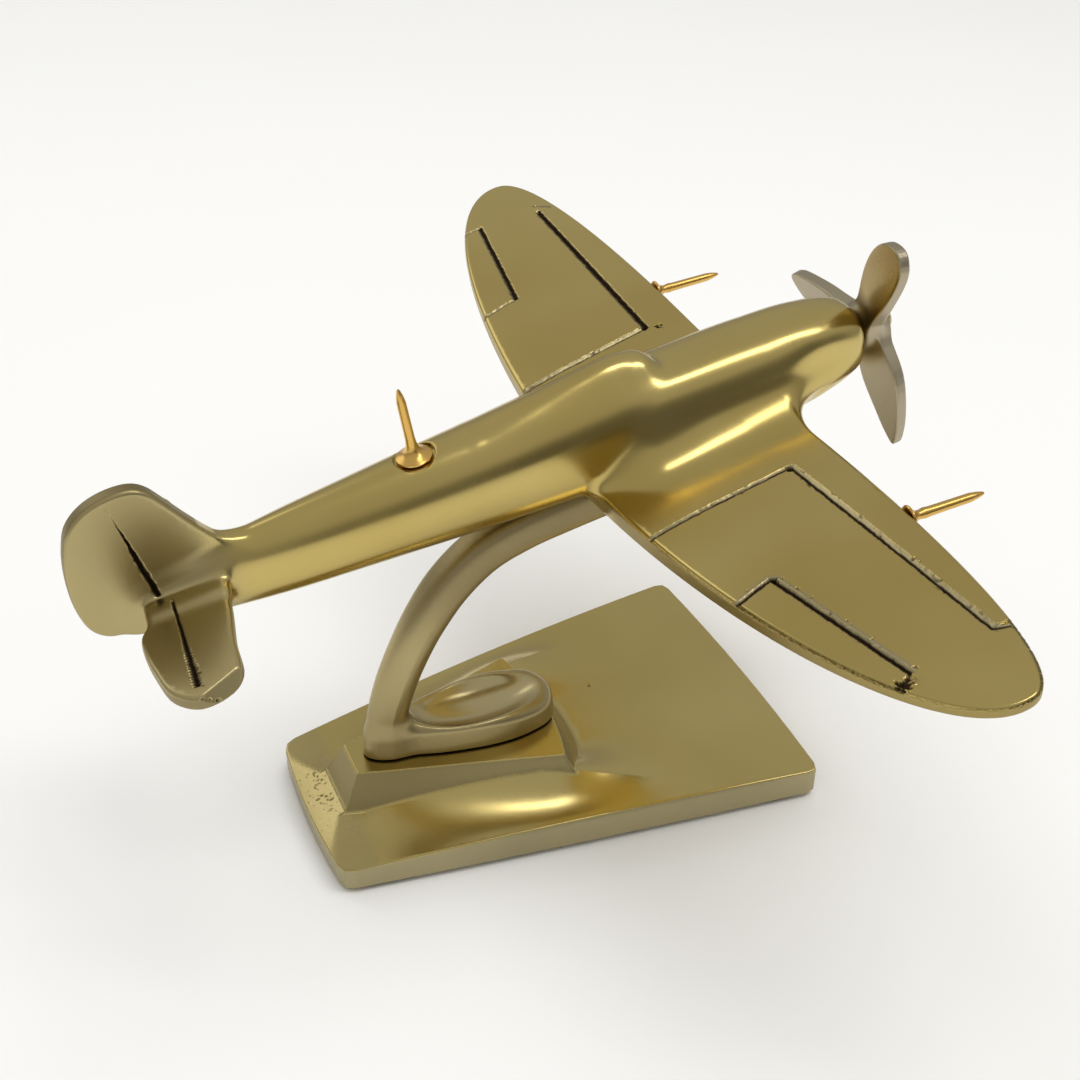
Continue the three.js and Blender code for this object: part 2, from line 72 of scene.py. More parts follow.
# ---- distance fields ----
def blend(a, b, k):
    """Two shapes as one, with a fillet about k wide."""
    near = np.maximum(k - np.abs(a - b), 0)
    return np.minimum(a, b) - near * near / (4 * k)


def meet(a, b, k):
    """What two shapes share, with its edge rounded over about k."""
    return -blend(-a, -b, k)


def carve(a, b, k):
    """Shape a less shape b."""
    return meet(a, -b, k)


def ramp(value, start, end):
    """0 before start, 1 past end, smooth between."""
    t = np.clip((value - start) / (end - start), 0, 1)
    return t * t * (3 - 2 * t)


def oval(x, z, wide, high, power=2.0):
    """Distance to a superellipse with half sizes wide and high, to first order."""
    u, v = np.abs(x) / wide, np.abs(z) / high
    f = np.maximum((u**power + v**power) ** (1 / power), 1e-3)
    slope = np.hypot((u / f) ** (power - 1) / wide, (v / f) ** (power - 1) / high)
    return (f - 1) / np.maximum(slope, 1e-6)


def slab(rim, face, r):
    """A plate from the distances to its outline and to its faces, with rims rounded by r."""
    a, b = rim + r, face + r
    return np.hypot(np.maximum(a, 0), np.maximum(b, 0)) + np.minimum(np.maximum(a, b), 0) - r


def smooth_loop(points, per_side=8):
    """A closed line through the points, rounded as a centripetal Catmull-Rom curve."""
    p = np.array(points, float)
    before, after, next_after = np.roll(p, 1, 0), np.roll(p, -1, 0), np.roll(p, -2, 0)
    gap = [np.sqrt(np.linalg.norm(b - a, axis=1)) for a, b in ((before, p), (p, after), (after, next_after))]
    t1 = gap[0]
    t2, t3 = t1 + gap[1], t1 + gap[1] + gap[2]
    made = []
    for step in range(per_side):
        t = t1 + (t2 - t1) * step / per_side
        a1 = mix_at(before, p, 0 * t1, t1, t)
        a2 = mix_at(p, after, t1, t2, t)
        a3 = mix_at(after, next_after, t2, t3, t)
        b1 = mix_at(a1, a2, 0 * t1, t2, t)
        b2 = mix_at(a2, a3, t1, t3, t)
        made.append(mix_at(b1, b2, t1, t2, t))
    return np.stack(made, 1).reshape(-1, 2)


def mix_at(a, b, start, end, t):
    """Between points a and b by how far t lies from start to end."""
    share = ((t - start) / (end - start))[:, None]
    return a * (1 - share) + b * share


def loop_distance(x, y, loop):
    """Distance to a closed outline, negative inside."""
    nearest = np.full(x.shape, 1e9)
    inside = np.zeros(x.shape, bool)
    for (ax, ay), (bx, by) in zip(loop, np.roll(loop, -1, 0)):
        ex, ey = bx - ax, by - ay
        px, py = x - ax, y - ay
        t = np.clip((px * ex + py * ey) / (ex * ex + ey * ey), 0, 1)
        nearest = np.minimum(nearest, (px - t * ex) ** 2 + (py - t * ey) ** 2)
        if ey:
            inside ^= ((ay > y) != (by > y)) & (px < ex * py / ey)
    return np.where(inside, -1, 1) * np.sqrt(nearest)


def table(stations, at):
    """Smooth columns of values through a table whose first column is the place along it."""
    rows = np.array(stations, float)
    place, columns = rows[:, 0], rows[:, 1:]
    slope = np.gradient(columns, place, axis=0)
    at = np.clip(at, place[0], place[-1])
    i = np.clip(np.searchsorted(place, at) - 1, 0, len(place) - 2)
    gap = place[i + 1] - place[i]
    t = (at - place[i]) / gap
    h = [2 * t**3 - 3 * t**2 + 1, (t**3 - 2 * t**2 + t) * gap, 3 * t**2 - 2 * t**3, (t**3 - t**2) * gap]
    return [h[0] * columns[i, k] + h[1] * slope[i, k] + h[2] * columns[i + 1, k] + h[3] * slope[i + 1, k]
            for k in range(columns.shape[1])]


HASH_STEPS = np.array([374761393, 668265263, 1274126177])  # large primes that scatter the noise
HASH_SEED_STEP = 144665


def speckle(points, cell, seed=0):
    """Smooth noise from -1 to 1, with lumps about cell wide."""
    place = points / cell + 31.7 * seed
    whole = np.floor(place).astype(np.int64)
    part = place - whole
    part = part * part * (3 - 2 * part)
    total = np.zeros(len(points))
    for corner in itertools.product((0, 1), repeat=3):
        c = whole + np.array(corner)
        mixed = (c @ HASH_STEPS + seed * HASH_SEED_STEP) & 0xFFFFFFFF
        mixed = ((mixed ^ (mixed >> 13)) * 1103515245) & 0xFFFFFFFF
        value = ((mixed ^ (mixed >> 16)) & 0xFFFF) / 32767.5 - 1
        total += value * np.prod(np.where(corner, part, 1 - part), axis=1)
    return total


# ---- from field to mesh ----
def net(field, low, high, step):
    """Rough triangles round the zero of a field, from the cells of a plain grid."""
    axes = [np.arange(a, b + step, step) for a, b in zip(low, high)]
    grid = np.stack(np.meshgrid(*axes, indexing="ij"), -1)
    inside = field(grid.reshape(-1, 3)).reshape(grid.shape[:3]) < 0
    count = sum(inside[i:len(axes[0]) - 1 + i, j:len(axes[1]) - 1 + j, k:len(axes[2]) - 1 + k].astype(int)
                for i, j, k in itertools.product((0, 1), repeat=3))
    crossed = (count > 0) & (count < 8)
    cell = np.full(crossed.shape, -1)
    cell[crossed] = np.arange(crossed.sum())
    points = grid[:-1, :-1, :-1][crossed] + step / 2
    quads = []
    for order in ((0, 1, 2), (1, 2, 0), (2, 0, 1)):
        state, ids = inside.transpose(order), cell.transpose(order)
        i, j, k = np.nonzero(state[:-1, 1:-1, 1:-1] != state[1:, 1:-1, 1:-1])
        ring = np.stack([ids[i, j, k], ids[i, j + 1, k], ids[i, j + 1, k + 1], ids[i, j, k + 1]], 1)
        outward = state[:-1, 1:-1, 1:-1][i, j, k]
        quads.append(np.where(outward[:, None], ring, ring[:, ::-1]))
    quads = np.concatenate(quads)
    return points, np.concatenate([quads[:, [0, 1, 2]], quads[:, [0, 2, 3]]])


def gradient(field, points, reach=0.06):
    """A field's slope at each point, from four samples round it."""
    sides = np.array([[1, -1, -1], [-1, -1, 1], [-1, 1, -1], [1, 1, 1]], float)
    return sum(field(points + reach * s)[:, None] * s for s in sides) / (4 * reach)


def unit(vectors):
    return vectors / np.maximum(np.linalg.norm(vectors, axis=1, keepdims=True), 1e-9)


def settle(field, points, times, most):
    """Points moved straight onto the field's zero."""
    for _ in range(times):
        g = gradient(field, points)
        move = field(points)[:, None] * g / np.maximum((g * g).sum(1, keepdims=True), 0.05)
        far = np.linalg.norm(move, axis=1, keepdims=True)
        points = points - move * np.minimum(1, most / np.maximum(far, 1e-9))
    return points


def edges_of(tris):
    """The mesh's edges, and each triangle's three edge numbers."""
    ends = np.sort(np.concatenate([tris[:, [0, 1]], tris[:, [1, 2]], tris[:, [2, 0]]]), axis=1)
    key, number = np.unique(ends[:, 0].astype(np.int64) << 32 | ends[:, 1], return_inverse=True)
    return np.stack([key >> 32, key & 0xFFFFFFFF], 1), number.reshape(3, -1).T


def ease(field, points, tris, amount=0.5):
    """Evens the triangles out along the skin, then puts them back on it."""
    edges, _ = edges_of(tris)
    a, b = edges.T
    total = np.bincount(a, minlength=len(points)) + np.bincount(b, minlength=len(points))
    middle = np.stack([np.bincount(a, points[b, k], len(points)) + np.bincount(b, points[a, k], len(points))
                       for k in range(3)], 1) / np.maximum(total, 1)[:, None]
    normal = unit(gradient(field, points))
    shift = middle - points
    shift -= (shift * normal).sum(1, keepdims=True) * normal
    return settle(field, points + amount * shift, 1, 0.5)


# New triangles by how many edges are halved: 0 to 2 are the corners, 3 to 5 the edges' middles.
SPLITS = {1: [[0, 3, 2], [3, 1, 2]], 2: [[3, 1, 4], [0, 3, 4], [0, 4, 2]],
          3: [[0, 3, 5], [3, 1, 4], [5, 4, 2], [3, 4, 5]]}


def split(points, tris, chosen_of):
    """Halves the chosen edges, and divides the triangles round them to suit."""
    edges, number = edges_of(tris)
    chosen = chosen_of(points, edges)
    fresh = np.full(len(edges), -1)
    fresh[chosen] = len(points) + np.arange(chosen.sum())
    points = np.concatenate([points, points[edges[chosen]].mean(1)])
    mid = fresh[number]
    cuts = (mid >= 0).sum(1)
    made = [tris[cuts == 0]]
    for many, patterns in SPLITS.items():
        t, m = tris[cuts == many], mid[cuts == many]
        first = (np.argmax(m < 0, 1) + 1) % 3 if many == 2 else np.argmax(m >= 0, 1)
        turn = (first[:, None] + np.arange(3)) % 3
        both = np.concatenate([np.take_along_axis(t, turn, 1), np.take_along_axis(m, turn, 1)], 1)
        made += [both[:, pattern] for pattern in patterns]
    return points, np.concatenate(made)


def skin(field, low, high, step, bend=0.25, least=0.35, wanted=None, rounds=3):
    """A field's skin as triangles: finer where it bends, and where wanted asks for an edge length."""
    points, tris = net(field, low, high, step)
    points = settle(field, points, 3, step)
    for _ in range(2):
        points = ease(field, points, tris)

    def chosen_of(points, edges):
        ends = points[edges]
        length = np.linalg.norm(ends[:, 0] - ends[:, 1], axis=1)
        normal = unit(gradient(field, points))[edges]
        turn = np.linalg.norm(normal[:, 0] - normal[:, 1], axis=1)
        chosen = (turn > bend) & (length > least * 1.4)
        if wanted is not None:
            chosen |= length > 1.4 * wanted(ends.mean(1))
        return chosen

    for _ in range(rounds):
        points, tris = split(points, tris, chosen_of)
        points = ease(field, points, tris, 0.4)
    return settle(field, points, 2, 0.3), tris


def engrave(points, normal, depth, reach=0.08):
    """Sinks points by depth, and tips their normals the way the sunk skin leans."""
    slope = gradient(lambda p: depth(p, normal), points, reach)
    slope -= (slope * normal).sum(1, keepdims=True) * normal
    sunk = points - depth(points, normal)[:, None] * normal
    return sunk, unit(normal + slope)


# ---- airframe ----
NOSE_Y, STERN_Y = -57.6, 129
# Distance aft, half width, top, bottom and squareness of the fuselage at each station.
FUSELAGE = [
    (-57.6, 7.9, 7.9, -7.9, 2.3), (-54, 9.1, 9.4, -9.3, 2.5), (-45, 10.5, 11.1, -11.4, 2.8),
    (-30, 11.4, 11.9, -12.7, 2.9), (-8, 11.8, 12.0, -13.2, 2.9), (20, 11.9, 12.9, -13.2, 2.5),
    (42, 11.2, 13.0, -12.8, 2.2), (58, 10.2, 12.3, -12, 2.1), (75, 8.8, 11.2, -11, 2.1),
    (92, 7.1, 10.1, -10, 2.1), (106, 5.0, 8.8, -8.7, 2.1), (119, 2.6, 6.8, -7, 2.1), (129, 1.4, 4, -5, 2.1),
]
# Distance aft, half width and top of the canopy hump.
CANOPY = [(-6, 3.6, 9), (-3.6, 5.8, 13.2), (-1, 6.9, 15.9), (3, 7.4, 17.3), (8, 7.4, 17.6), (15, 7.0, 16.8),
          (25, 6.2, 15), (36, 5, 12.4), (42, 4, 10)]
CANOPY_BASE_Z, CANOPY_MIDDLE_Y, CANOPY_HALF_LENGTH = 4, 18, 23.4

WING_REACH = 125.0
WING_MID_Y = -13.5  # where leading and trailing edge meet at the tip
WING_FORE, WING_AFT = 17.1, 33.3
WING_FORE_POWER, WING_AFT_POWER = 2.5, 2.0  # of the two half superellipses in plan
WING_ROOT_Z, WING_RISE, WING_TILT = -10.3, 0.096, 0.0735
WING_ROOT_THICK, WING_TIP_THICK = 8.6, 4.2
WING_RIM_ROUND = 1.25

TAIL_Z, TAIL_THICK = 0.4, 3.9
TAIL_HALF = [(5, 107), (12.8, 107.8), (23.7, 109.9), (33.6, 111.2), (37.2, 114.6), (38, 121.5), (33.5, 126.2),
             (25, 128), (18, 128.5), (12.5, 127.8), (9, 125.2), (5, 124.2)]
TAIL_LOOP = smooth_loop(TAIL_HALF + [(-x, y) for x, y in TAIL_HALF[::-1]], 5)
FIN_THICK = 4.2
FIN_LOOP = smooth_loop([(99, 6), (105, 11.9), (109.2, 18.2), (112.8, 24.5), (115.5, 28.7), (118.2, 30.6),
                        (123.4, 31.2), (129.2, 29.8), (133.6, 26.5), (136, 21.7), (137.8, 15), (138.5, 7.2),
                        (137.3, 0), (134.5, -3.2), (131, -4.4), (126.6, -5.8), (113, -5)], 5)
TAIL_FROM_Y = 88  # nothing of the tail lies ahead of this
ROOT_RIDGE_X, ROOT_RIDGE_Z, ROOT_RIDGE_FROM_Y, ROOT_RIDGE_TO_Y = 6.6, 1.2, 106.6, 125.4
TIP_CUT = (33.2, 111.5), (37.9, 121.5)  # the tailplane's tip is filed off outside this line

# Three nails: the mast stands in a bored seat, the guns in pockets in the leading edge.
MAST_Y, MAST_HOLE_RADIUS, MAST_SEAT_Z = 57.7, 4.9, 11.1
MAST_HEAD, MAST_LENGTH, MAST_CLEARANCE = 4.3, 18.6, 0.3
GUNS = {"gun_barrel_left": 52.5, "gun_barrel_right": -65.0}  # the middle X of each
GUN_HEAD, GUN_LENGTH, GUN_CLEARANCE, GUN_POCKET_RADIUS = 2.9, 19, 0.1, 3.2
GUN_LEAN = 1  # how far a gun's point lies to starboard and below its head


def fuselage(x, y, z):
    """The fuselage, with a shallow groove along each flank of the nose."""
    wide, top, bottom, power = table(FUSELAGE, y)
    body = oval(x, z - (top + bottom) / 2, wide, (top - bottom) / 2, power)
    flank = np.exp(-((z - 1.5) / 3.2) ** 2) * ramp(y, -55, -44) * ramp(y, 2, -12)
    return meet(body + 0.45 * flank, np.maximum(NOSE_Y - y, y - STERN_Y), 3.2)


def canopy(x, y, z):
    """The hump of the canopy, cut off upright at both ends."""
    wide, top = table(CANOPY, y)
    hump = oval(x, z - CANOPY_BASE_Z, wide, np.maximum(top - CANOPY_BASE_Z, 1), 2.2)
    return meet(hump, np.abs(y - CANOPY_MIDDLE_Y) - CANOPY_HALF_LENGTH, 1.5)


def wing_middle(x, y):
    """Height of the wing's middle surface, which rises to the tips and tilts nose-up."""
    return WING_ROOT_Z + WING_RISE * np.hypot(x, 4) - WING_TILT * (y - WING_MID_Y)


def wing_rim(x, y):
    """Distance to the wing's outline in plan, negative inside."""
    s = y - WING_MID_Y
    return np.where(s < 0, oval(x, s, WING_REACH, WING_FORE, WING_FORE_POWER),
                    oval(x, s, WING_REACH, WING_AFT, WING_AFT_POWER))


def wing(x, y, z):
    """Both wings: a plate round the middle surface, thinning to its rims and tips."""
    rim = wing_rim(x, y)
    half = (WING_ROOT_THICK + (WING_TIP_THICK - WING_ROOT_THICK) * np.abs(x) / WING_REACH) / 2
    crown = 0.76 + 0.24 * np.sin(np.clip(-rim / 15, 0, 1) * math.pi / 2)
    return slab(rim, np.abs(z - wing_middle(x, y)) - half * crown, np.minimum(0.5 * half, WING_RIM_ROUND))


def tail(x, y, z):
    """Tailplane with its filed tips and root ridges, and the fin."""
    side = np.abs(x)
    plane = slab(loop_distance(x, y, TAIL_LOOP), np.abs(z - TAIL_Z) - TAIL_THICK / 2, 1.2)
    (ax, ay), (bx, by) = TIP_CUT
    past_cut = ((side - ax) * (by - ay) - (y - ay) * (bx - ax)) / math.hypot(bx - ax, by - ay)
    plane = meet(plane, past_cut * 0.86 + (z - TAIL_Z - TAIL_THICK / 2) * 0.5, 0.3)
    ridge = np.hypot((side - ROOT_RIDGE_X) * 0.75, z - ROOT_RIDGE_Z) - 2.1
    ridge = meet(ridge, np.maximum(ROOT_RIDGE_FROM_Y - y, y - ROOT_RIDGE_TO_Y), 2)
    upright = slab(loop_distance(y, z, FIN_LOOP), side - FIN_THICK / 2, 1.1)
    return blend(blend(plane, ridge, 2.2), upright, 2.2)


def airframe(p):
    """The whole casting, in the plane's own frame."""
    x, y, z = p.T
    body = blend(fuselage(x, y, z), canopy(x, y, z), 2.6 + 2.4 * ramp(y, -4, 12))
    above = z - wing_middle(x, y)
    fillet = 3 + (4 + 9 * ramp(above, -3, 3)) * ramp(y, 26, 4)
    body = blend(body, wing(x, y, z), fillet)
    rear = y > TAIL_FROM_Y
    body[rear] = blend(body[rear], tail(x[rear], y[rear], z[rear]), 3.2)
    hole = np.maximum(np.hypot(x, y - MAST_Y) - MAST_HOLE_RADIUS, MAST_SEAT_Z - z)
    body = carve(body, hole, 0.5)
    for gun_x in GUNS.values():
        pocket = np.hypot(x - gun_x, z - gun_z(gun_x)) - GUN_POCKET_RADIUS
        body = carve(body, np.maximum(pocket, y - gun_y(gun_x)), 0.3)
    return body


def gun_y(x):
    """Where the leading edge lies at x."""
    return WING_MID_Y - WING_FORE * (1 - (abs(x) / WING_REACH) ** WING_FORE_POWER) ** (1 / WING_FORE_POWER)


def gun_z(x):
    """Height of the wing's middle at the leading edge."""
    return float(wing_middle(np.array(x), np.array(gun_y(x))))


# ---- lines engraved in the airframe ----
# Each line: from, to, wall width on the left and on the right of the way it runs, depth.
PORT_LINES = [
    ((33.4, 19.6), (36.1, -18.7), 1.5, 0.4, 0.8),
    ((36.1, -18.7), (103.6, -18.9), 1.15, 0.95, 1.05),
    ((106.6, -19.6), (104.3, -23.2), 0.6, 0.6, 0.9),
    ((69.7, 3.9), (107.5, -1.7), 1.0, 0.9, 1.0),
    ((68.4, 15.0), (69.7, 3.9), 0.8, 0.4, 0.65),
    ((107.8, 4.0), (107.5, -1.7), 0.8, 0.4, 0.7),
]
STARBOARD_ROOT = ((-36.0, 19.2), (-35.3, -18.4), 0.75, 0.4, 0.85)
STARBOARD_FRONT = ((-35.3, -18.4), (-105.6, -20.0), 1.45, 0.5, 1.0)
STARBOARD_HINGE = ((-65.6, 5.0), (-106.0, -1.2), 2.0, 0.55, 1.5)
STARBOARD_END = ((-67.8, 16.0), (-65.6, 5.0), 1.5, 0.4, 1.35)
STARBOARD_LINES = [STARBOARD_ROOT, STARBOARD_FRONT, STARBOARD_HINGE, STARBOARD_END,
                   ((-105.5, -20.0), (-107.1, -24.0), 0.8, 0.7, 1.1)]
PANEL_DROP = 0.5  # the starboard panel lies this far below the strips ahead of it and inboard
AILERON_DROP = 0.45  # and its aileron this much lower again
AILERON_TIP_X = -108.0
ELEVATOR_LINES = [((side * 6.5, 119.0), (side * 34.2, 120.6), 0.6, 0.6, 1.2) for side in (1, -1)]
RUDDER_LINE = ((124.3, 28.2), (121.2, 2.6), 0.95, 0.95, 1.3)
TAIL_DULL = 0.6  # the tail is polished less than the wings
RUDDER_TAPER = 18  # the rudder line narrows to a point over this length at its top
# Casting pits in the wings' upper skin: X, Y, radius, depth.
WING_PITS = [(35.0, -21.5, 0.9, 0.9), (35.2, -22.7, 0.5, 0.5), (36.3, -18.6, 0.9, 1.1),
             (-35.6, -18.0, 0.9, 1.2), (-66.2, 4.6, 0.8, 1.2), (-107.6, 1.4, 1.9, 1.1),
             (-108.9, 3.4, 1.4, 1.0), (-106.6, -0.2, 1.0, 0.8)]
LINE_EDGE, OPEN_EDGE = 0.24, 9.0  # longest mesh edge beside a line, and elsewhere


def line_place(a, b, line):
    """Distances along and leftward of a line, and past its ends, for places a, b."""
    (x0, y0), (x1, y1) = line[:2]
    length = math.hypot(x1 - x0, y1 - y0)
    ux, uy = (x1 - x0) / length, (y1 - y0) / length
    along = (a - x0) * ux + (b - y0) * uy
    return along, (b - y0) * ux - (a - x0) * uy, np.maximum(np.maximum(-along, along - length), 0)


def line_fall(a, b, line, wobble, narrow=1.0):
    """How far down a line's walls a place lies, 0 to 1, and its distance leftward."""
    _, left, past = line_place(a, b, line)
    left = left + wobble
    wide = np.where(left > 0, line[2], line[3]) * narrow
    return np.clip(1 - np.abs(left) / wide, 0, 1) * np.clip(1 - past / 0.5, 0, 1), left


def line_depth(a, b, line, wobble, narrow=1.0):
    """Depth of one line: sloping walls, steeper at their foot."""
    fall, _ = line_fall(a, b, line, wobble, narrow)
    return line[4] * (0.75 * fall + 0.25 * fall**4) * np.minimum(narrow * 1.5, 1)


def line_distance(a, b, line):
    """Distance outside the walls of a line, 0 within them."""
    _, left, past = line_place(a, b, line)
    inside_wall = np.maximum(np.abs(left) - np.where(left > 0, line[2], line[3]), 0)
    return np.hypot(inside_wall, past)


def panel_depth(x, y, wobble):
    """How far the starboard wing's panel and aileron lie below its root and front strips."""
    bounds = (STARBOARD_ROOT, STARBOARD_FRONT, STARBOARD_HINGE, STARBOARD_END)
    root, front, hinge, end = (line_place(x, y, line)[1] + wobble < 0 for line in bounds)
    panel = root & (front | (x < STARBOARD_FRONT[1][0]))
    aileron = hinge & end
    return PANEL_DROP * panel + AILERON_DROP * aileron * ramp(x, AILERON_TIP_X - 1.5, AILERON_TIP_X + 1)


def crumble(p):
    """Sideways wobble of a line's crest, left by the file and the moulding sand."""
    return 0.12 * speckle(p, 1.1, 1) + 0.04 * speckle(p, 0.4, 2)


def sand_pits(p, line):
    """Small pits, 0 to 1, left on and beside a line's walls."""
    beside = np.exp(-(line_distance(p[:, 0], p[:, 1], line) / 0.3) ** 2)
    return beside * np.clip(2.2 * (speckle(p, 0.75, 3) - 0.5), 0, 1)


def pit_depth(p):
    """Depth of the larger pits, each a ragged hollow."""
    depth = np.zeros(len(p))
    for px, py, radius, deep in WING_PITS:
        away = np.hypot(p[:, 0] - px, p[:, 1] - py) / radius + 0.5 * speckle(p, 0.6, 4)
        depth = np.maximum(depth, deep * np.clip(1 - away, 0, 1) ** 0.7)
    return depth


def wing_marks(p, drop):
    """Depth of the wing's lines and pits, on skin that already lies lower by drop."""
    wobble = crumble(p)
    depth = drop
    pits = np.zeros(len(p))
    for line in PORT_LINES + STARBOARD_LINES:
        depth = np.maximum(depth, line_depth(p[:, 0], p[:, 1], line, wobble))
        pits = np.maximum(pits, sand_pits(p, line))
    return depth + 0.25 * pits + pit_depth(p)


def wing_stain_and_shade(p):
    """Painted shade in the feet of the lines, dirt in the pits, and the dull of their cast walls."""
    wobble = crumble(p)
    dirt = ramp(pit_depth(p), 0.15, 0.45)
    wall = np.zeros(len(p))
    for line in PORT_LINES + STARBOARD_LINES:
        fall, left = line_fall(p[:, 0], p[:, 1], line, wobble)
        # painted shade along the foot of each line's wall
        foot = np.where(left > 0, ramp(fall, 0.66, 0.8), ramp(fall, 0.1, 0.35))
        dirt = np.maximum(dirt, np.maximum(foot, 0.7 * sand_pits(p, line)))
        wall = np.maximum(wall, 0.8 * ramp(fall, 0.03, 0.25))
    return dirt, wall


def wing_depth(p):
    """Depth of all that is sunk in the wings' upper skin."""
    x, y, z = p.T
    depth = panel_depth(x, y, 0.04 * np.sin(1.7 * x + 2.3 * y))
    near = airframe_edge(p) < 1
    depth[near] = wing_marks(p[near], depth[near])
    return depth * (z > wing_middle(x, y))


def tail_depth(p, normal):
    """Depth of the saw-toothed elevator lines and of the rudder line."""
    x, y, z = p.T
    teeth = 0.16 * np.sign(np.sin(x * 7.5)) * ramp(np.abs(x), 18, 25)
    flat = np.zeros(len(p))
    for line in ELEVATOR_LINES:
        wider = 0.7 + 1.1 * ramp(np.abs(x), 10, 33)
        flat = np.maximum(flat, line_depth(x, y, line, teeth + 0.5 * crumble(p), wider))
    along, _, _ = line_place(y, z, RUDDER_LINE)
    upright = line_depth(y, z, RUDDER_LINE, 1.6 * crumble(p), np.clip(along / RUDDER_TAPER, 0.12, 1))
    return flat * ramp(np.abs(normal[:, 2]), 0.5, 0.8) + upright * ramp(np.abs(normal[:, 0]), 0.6, 0.85)


def airframe_depth(p, normal):
    """Depth of everything engraved in the airframe."""
    depth = wing_depth(p) * ramp(normal[:, 2], 0.2, 0.5)
    rear = p[:, 1] > TAIL_FROM_Y
    depth[rear] += tail_depth(p[rear], normal[rear])
    return depth


def rim_stain_and_shade(p, normal):
    """Brown under the rims of wings, fin and tailplane, where the polishing wheel skips; on the downward
    faces of wing and tailplane rims it is painted shade as well.
    """
    x, y, z = p.T
    under_wing = ramp(-wing_rim(x, y), 3, 1.5) * ramp(np.abs(x), 14, 22) * ramp(normal[:, 2], 0.55, -0.1)
    fin_rim = (y > 108) * ramp(np.abs(normal[:, 0]), 0.7, 0.3) * ramp(z, 3, 6)
    tail_rim = (y > 104) * ramp(np.abs(x), 9, 12) * ramp(normal[:, 2], 0.6, 0.1)
    return np.maximum(under_wing, np.maximum(fin_rim, tail_rim))


def airframe_stain_and_shade(p, normal):
    """Dirt, painted shade and dullness of the airframe's skin, before it is engraved."""
    # the rims' brown includes painted shade under the wings and tailplane
    dirt, dull = 0.4 * rim_stain_and_shade(p, normal), np.zeros(len(p))
    lines = (airframe_edge(p) < 1) & (normal[:, 2] > 0.3) & (p[:, 1] < TAIL_FROM_Y)
    line_dirt_and_shade, line_wall = wing_stain_and_shade(p[lines])
    dirt[lines] = np.maximum(dirt[lines], line_dirt_and_shade)
    dull[lines] = line_wall
    rear = p[:, 1] > TAIL_FROM_Y
    # darker where the tail's lines run deep
    dirt[rear] = np.maximum(dirt[rear], ramp(tail_depth(p[rear], normal[rear]), 0.15, 0.5))
    dull[rear] = TAIL_DULL * ramp(p[rear, 1], 100, 112)
    return dirt, dull


def airframe_edge(p):
    """The mesh edge length wanted at a place: short beside every engraved line and pit."""
    x, y, z = p.T
    near = np.full(len(p), OPEN_EDGE)
    for line in PORT_LINES + STARBOARD_LINES:
        near = np.minimum(near, line_distance(x, y, line))
    for px, py, radius, _ in WING_PITS:
        near = np.minimum(near, np.hypot(x - px, y - py) - radius)
    near[z < wing_middle(x, y)] = OPEN_EDGE
    rear = y > TAIL_FROM_Y
    for line in ELEVATOR_LINES:
        near[rear] = np.minimum(near[rear], line_distance(x[rear], y[rear], line))
    near[rear] = np.minimum(near[rear], line_distance(y[rear], z[rear], RUDDER_LINE))
    return np.where(near < 0.5, LINE_EDGE, OPEN_EDGE)


# ---- stand arm ----
# Middle line of the arm in the upright plane, from foot to belly: Y, Z.
ARM_LINE = [(41, 21), (40.6, 31), (38, 40.5), (34, 49.8), (28.8, 59), (22, 67.8), (13.5, 74.6), (3.5, 78.4),
            (-8, 80.8), (-21, 83)]
ARM_HALF_WIDTH, ARM_THICK, BELLY_GAP = 5.0, 10.4, 0.12
ARM_STEPS = 48  # places that the bar is measured from
FOOT_BOTTOM, FOOT_TOP = 19.8, 28.4
FOOT_HALF = [(2.9, 44.8), (5.0, 38), (8.2, 28), (10.6, 14.5), (10.3, 6), (7.6, -1.6)]
FOOT_LOOP = smooth_loop([(0, 46.8)] + FOOT_HALF + [(0, -4.9)] + [(-x, y) for x, y in FOOT_HALF[::-1]], 5)
DISH_MIDDLE, DISH_SIZE = (0, 16.4, 29.6), (8.8, 18.0, 6.4)


def arm_places():
    """The arm's middle line as close-set points."""
    line = np.array(ARM_LINE, float)
    run = np.concatenate([[0], np.cumsum(np.linalg.norm(np.diff(line, axis=0), axis=1))])
    return np.stack(table(np.column_stack([run, line]), np.linspace(0, run[-1], ARM_STEPS)), 1)


ARM_PLACES = arm_places()


def arm_bar(x, y, z):
    """The curved bar: a rounded square section carried along the arm's middle line."""
    best, side, run = np.full(x.shape, 1e9), np.zeros(x.shape), np.zeros(x.shape)
    for i, ((y0, z0), (y1, z1)) in enumerate(zip(ARM_PLACES, ARM_PLACES[1:])):
        length = math.hypot(y1 - y0, z1 - z0)
        uy, uz = (y1 - y0) / length, (z1 - z0) / length
        along = (y - y0) * uy + (z - z0) * uz
        if i == 0:  # below its first place the bar runs straight on, into the foot
            along = np.maximum(along, 0)
        across = (y - y0) * uz - (z - z0) * uy
        past = np.maximum(np.maximum(-along, along - length), 0)
        away = np.hypot(across, past)
        nearer = away < best
        best[nearer], side[nearer] = away[nearer], across[nearer]
        run[nearer] = (i + along[nearer] / length) / len(ARM_PLACES)
    end = ARM_PLACES[-1]
    wedge = 1 - (0.42 - 0.34 * ramp(run, 0.15, 0.5)) * np.clip(side / (ARM_THICK / 2), 0, 1)
    wedge = wedge * (1 - 0.18 * ramp(run, 0.24, 0.02))
    power = 2.5 + 0.9 * ramp(run, 0.25, 0.6)
    return np.maximum(oval(x, side, ARM_HALF_WIDTH * wedge, ARM_THICK / 2, power), end[0] - y)


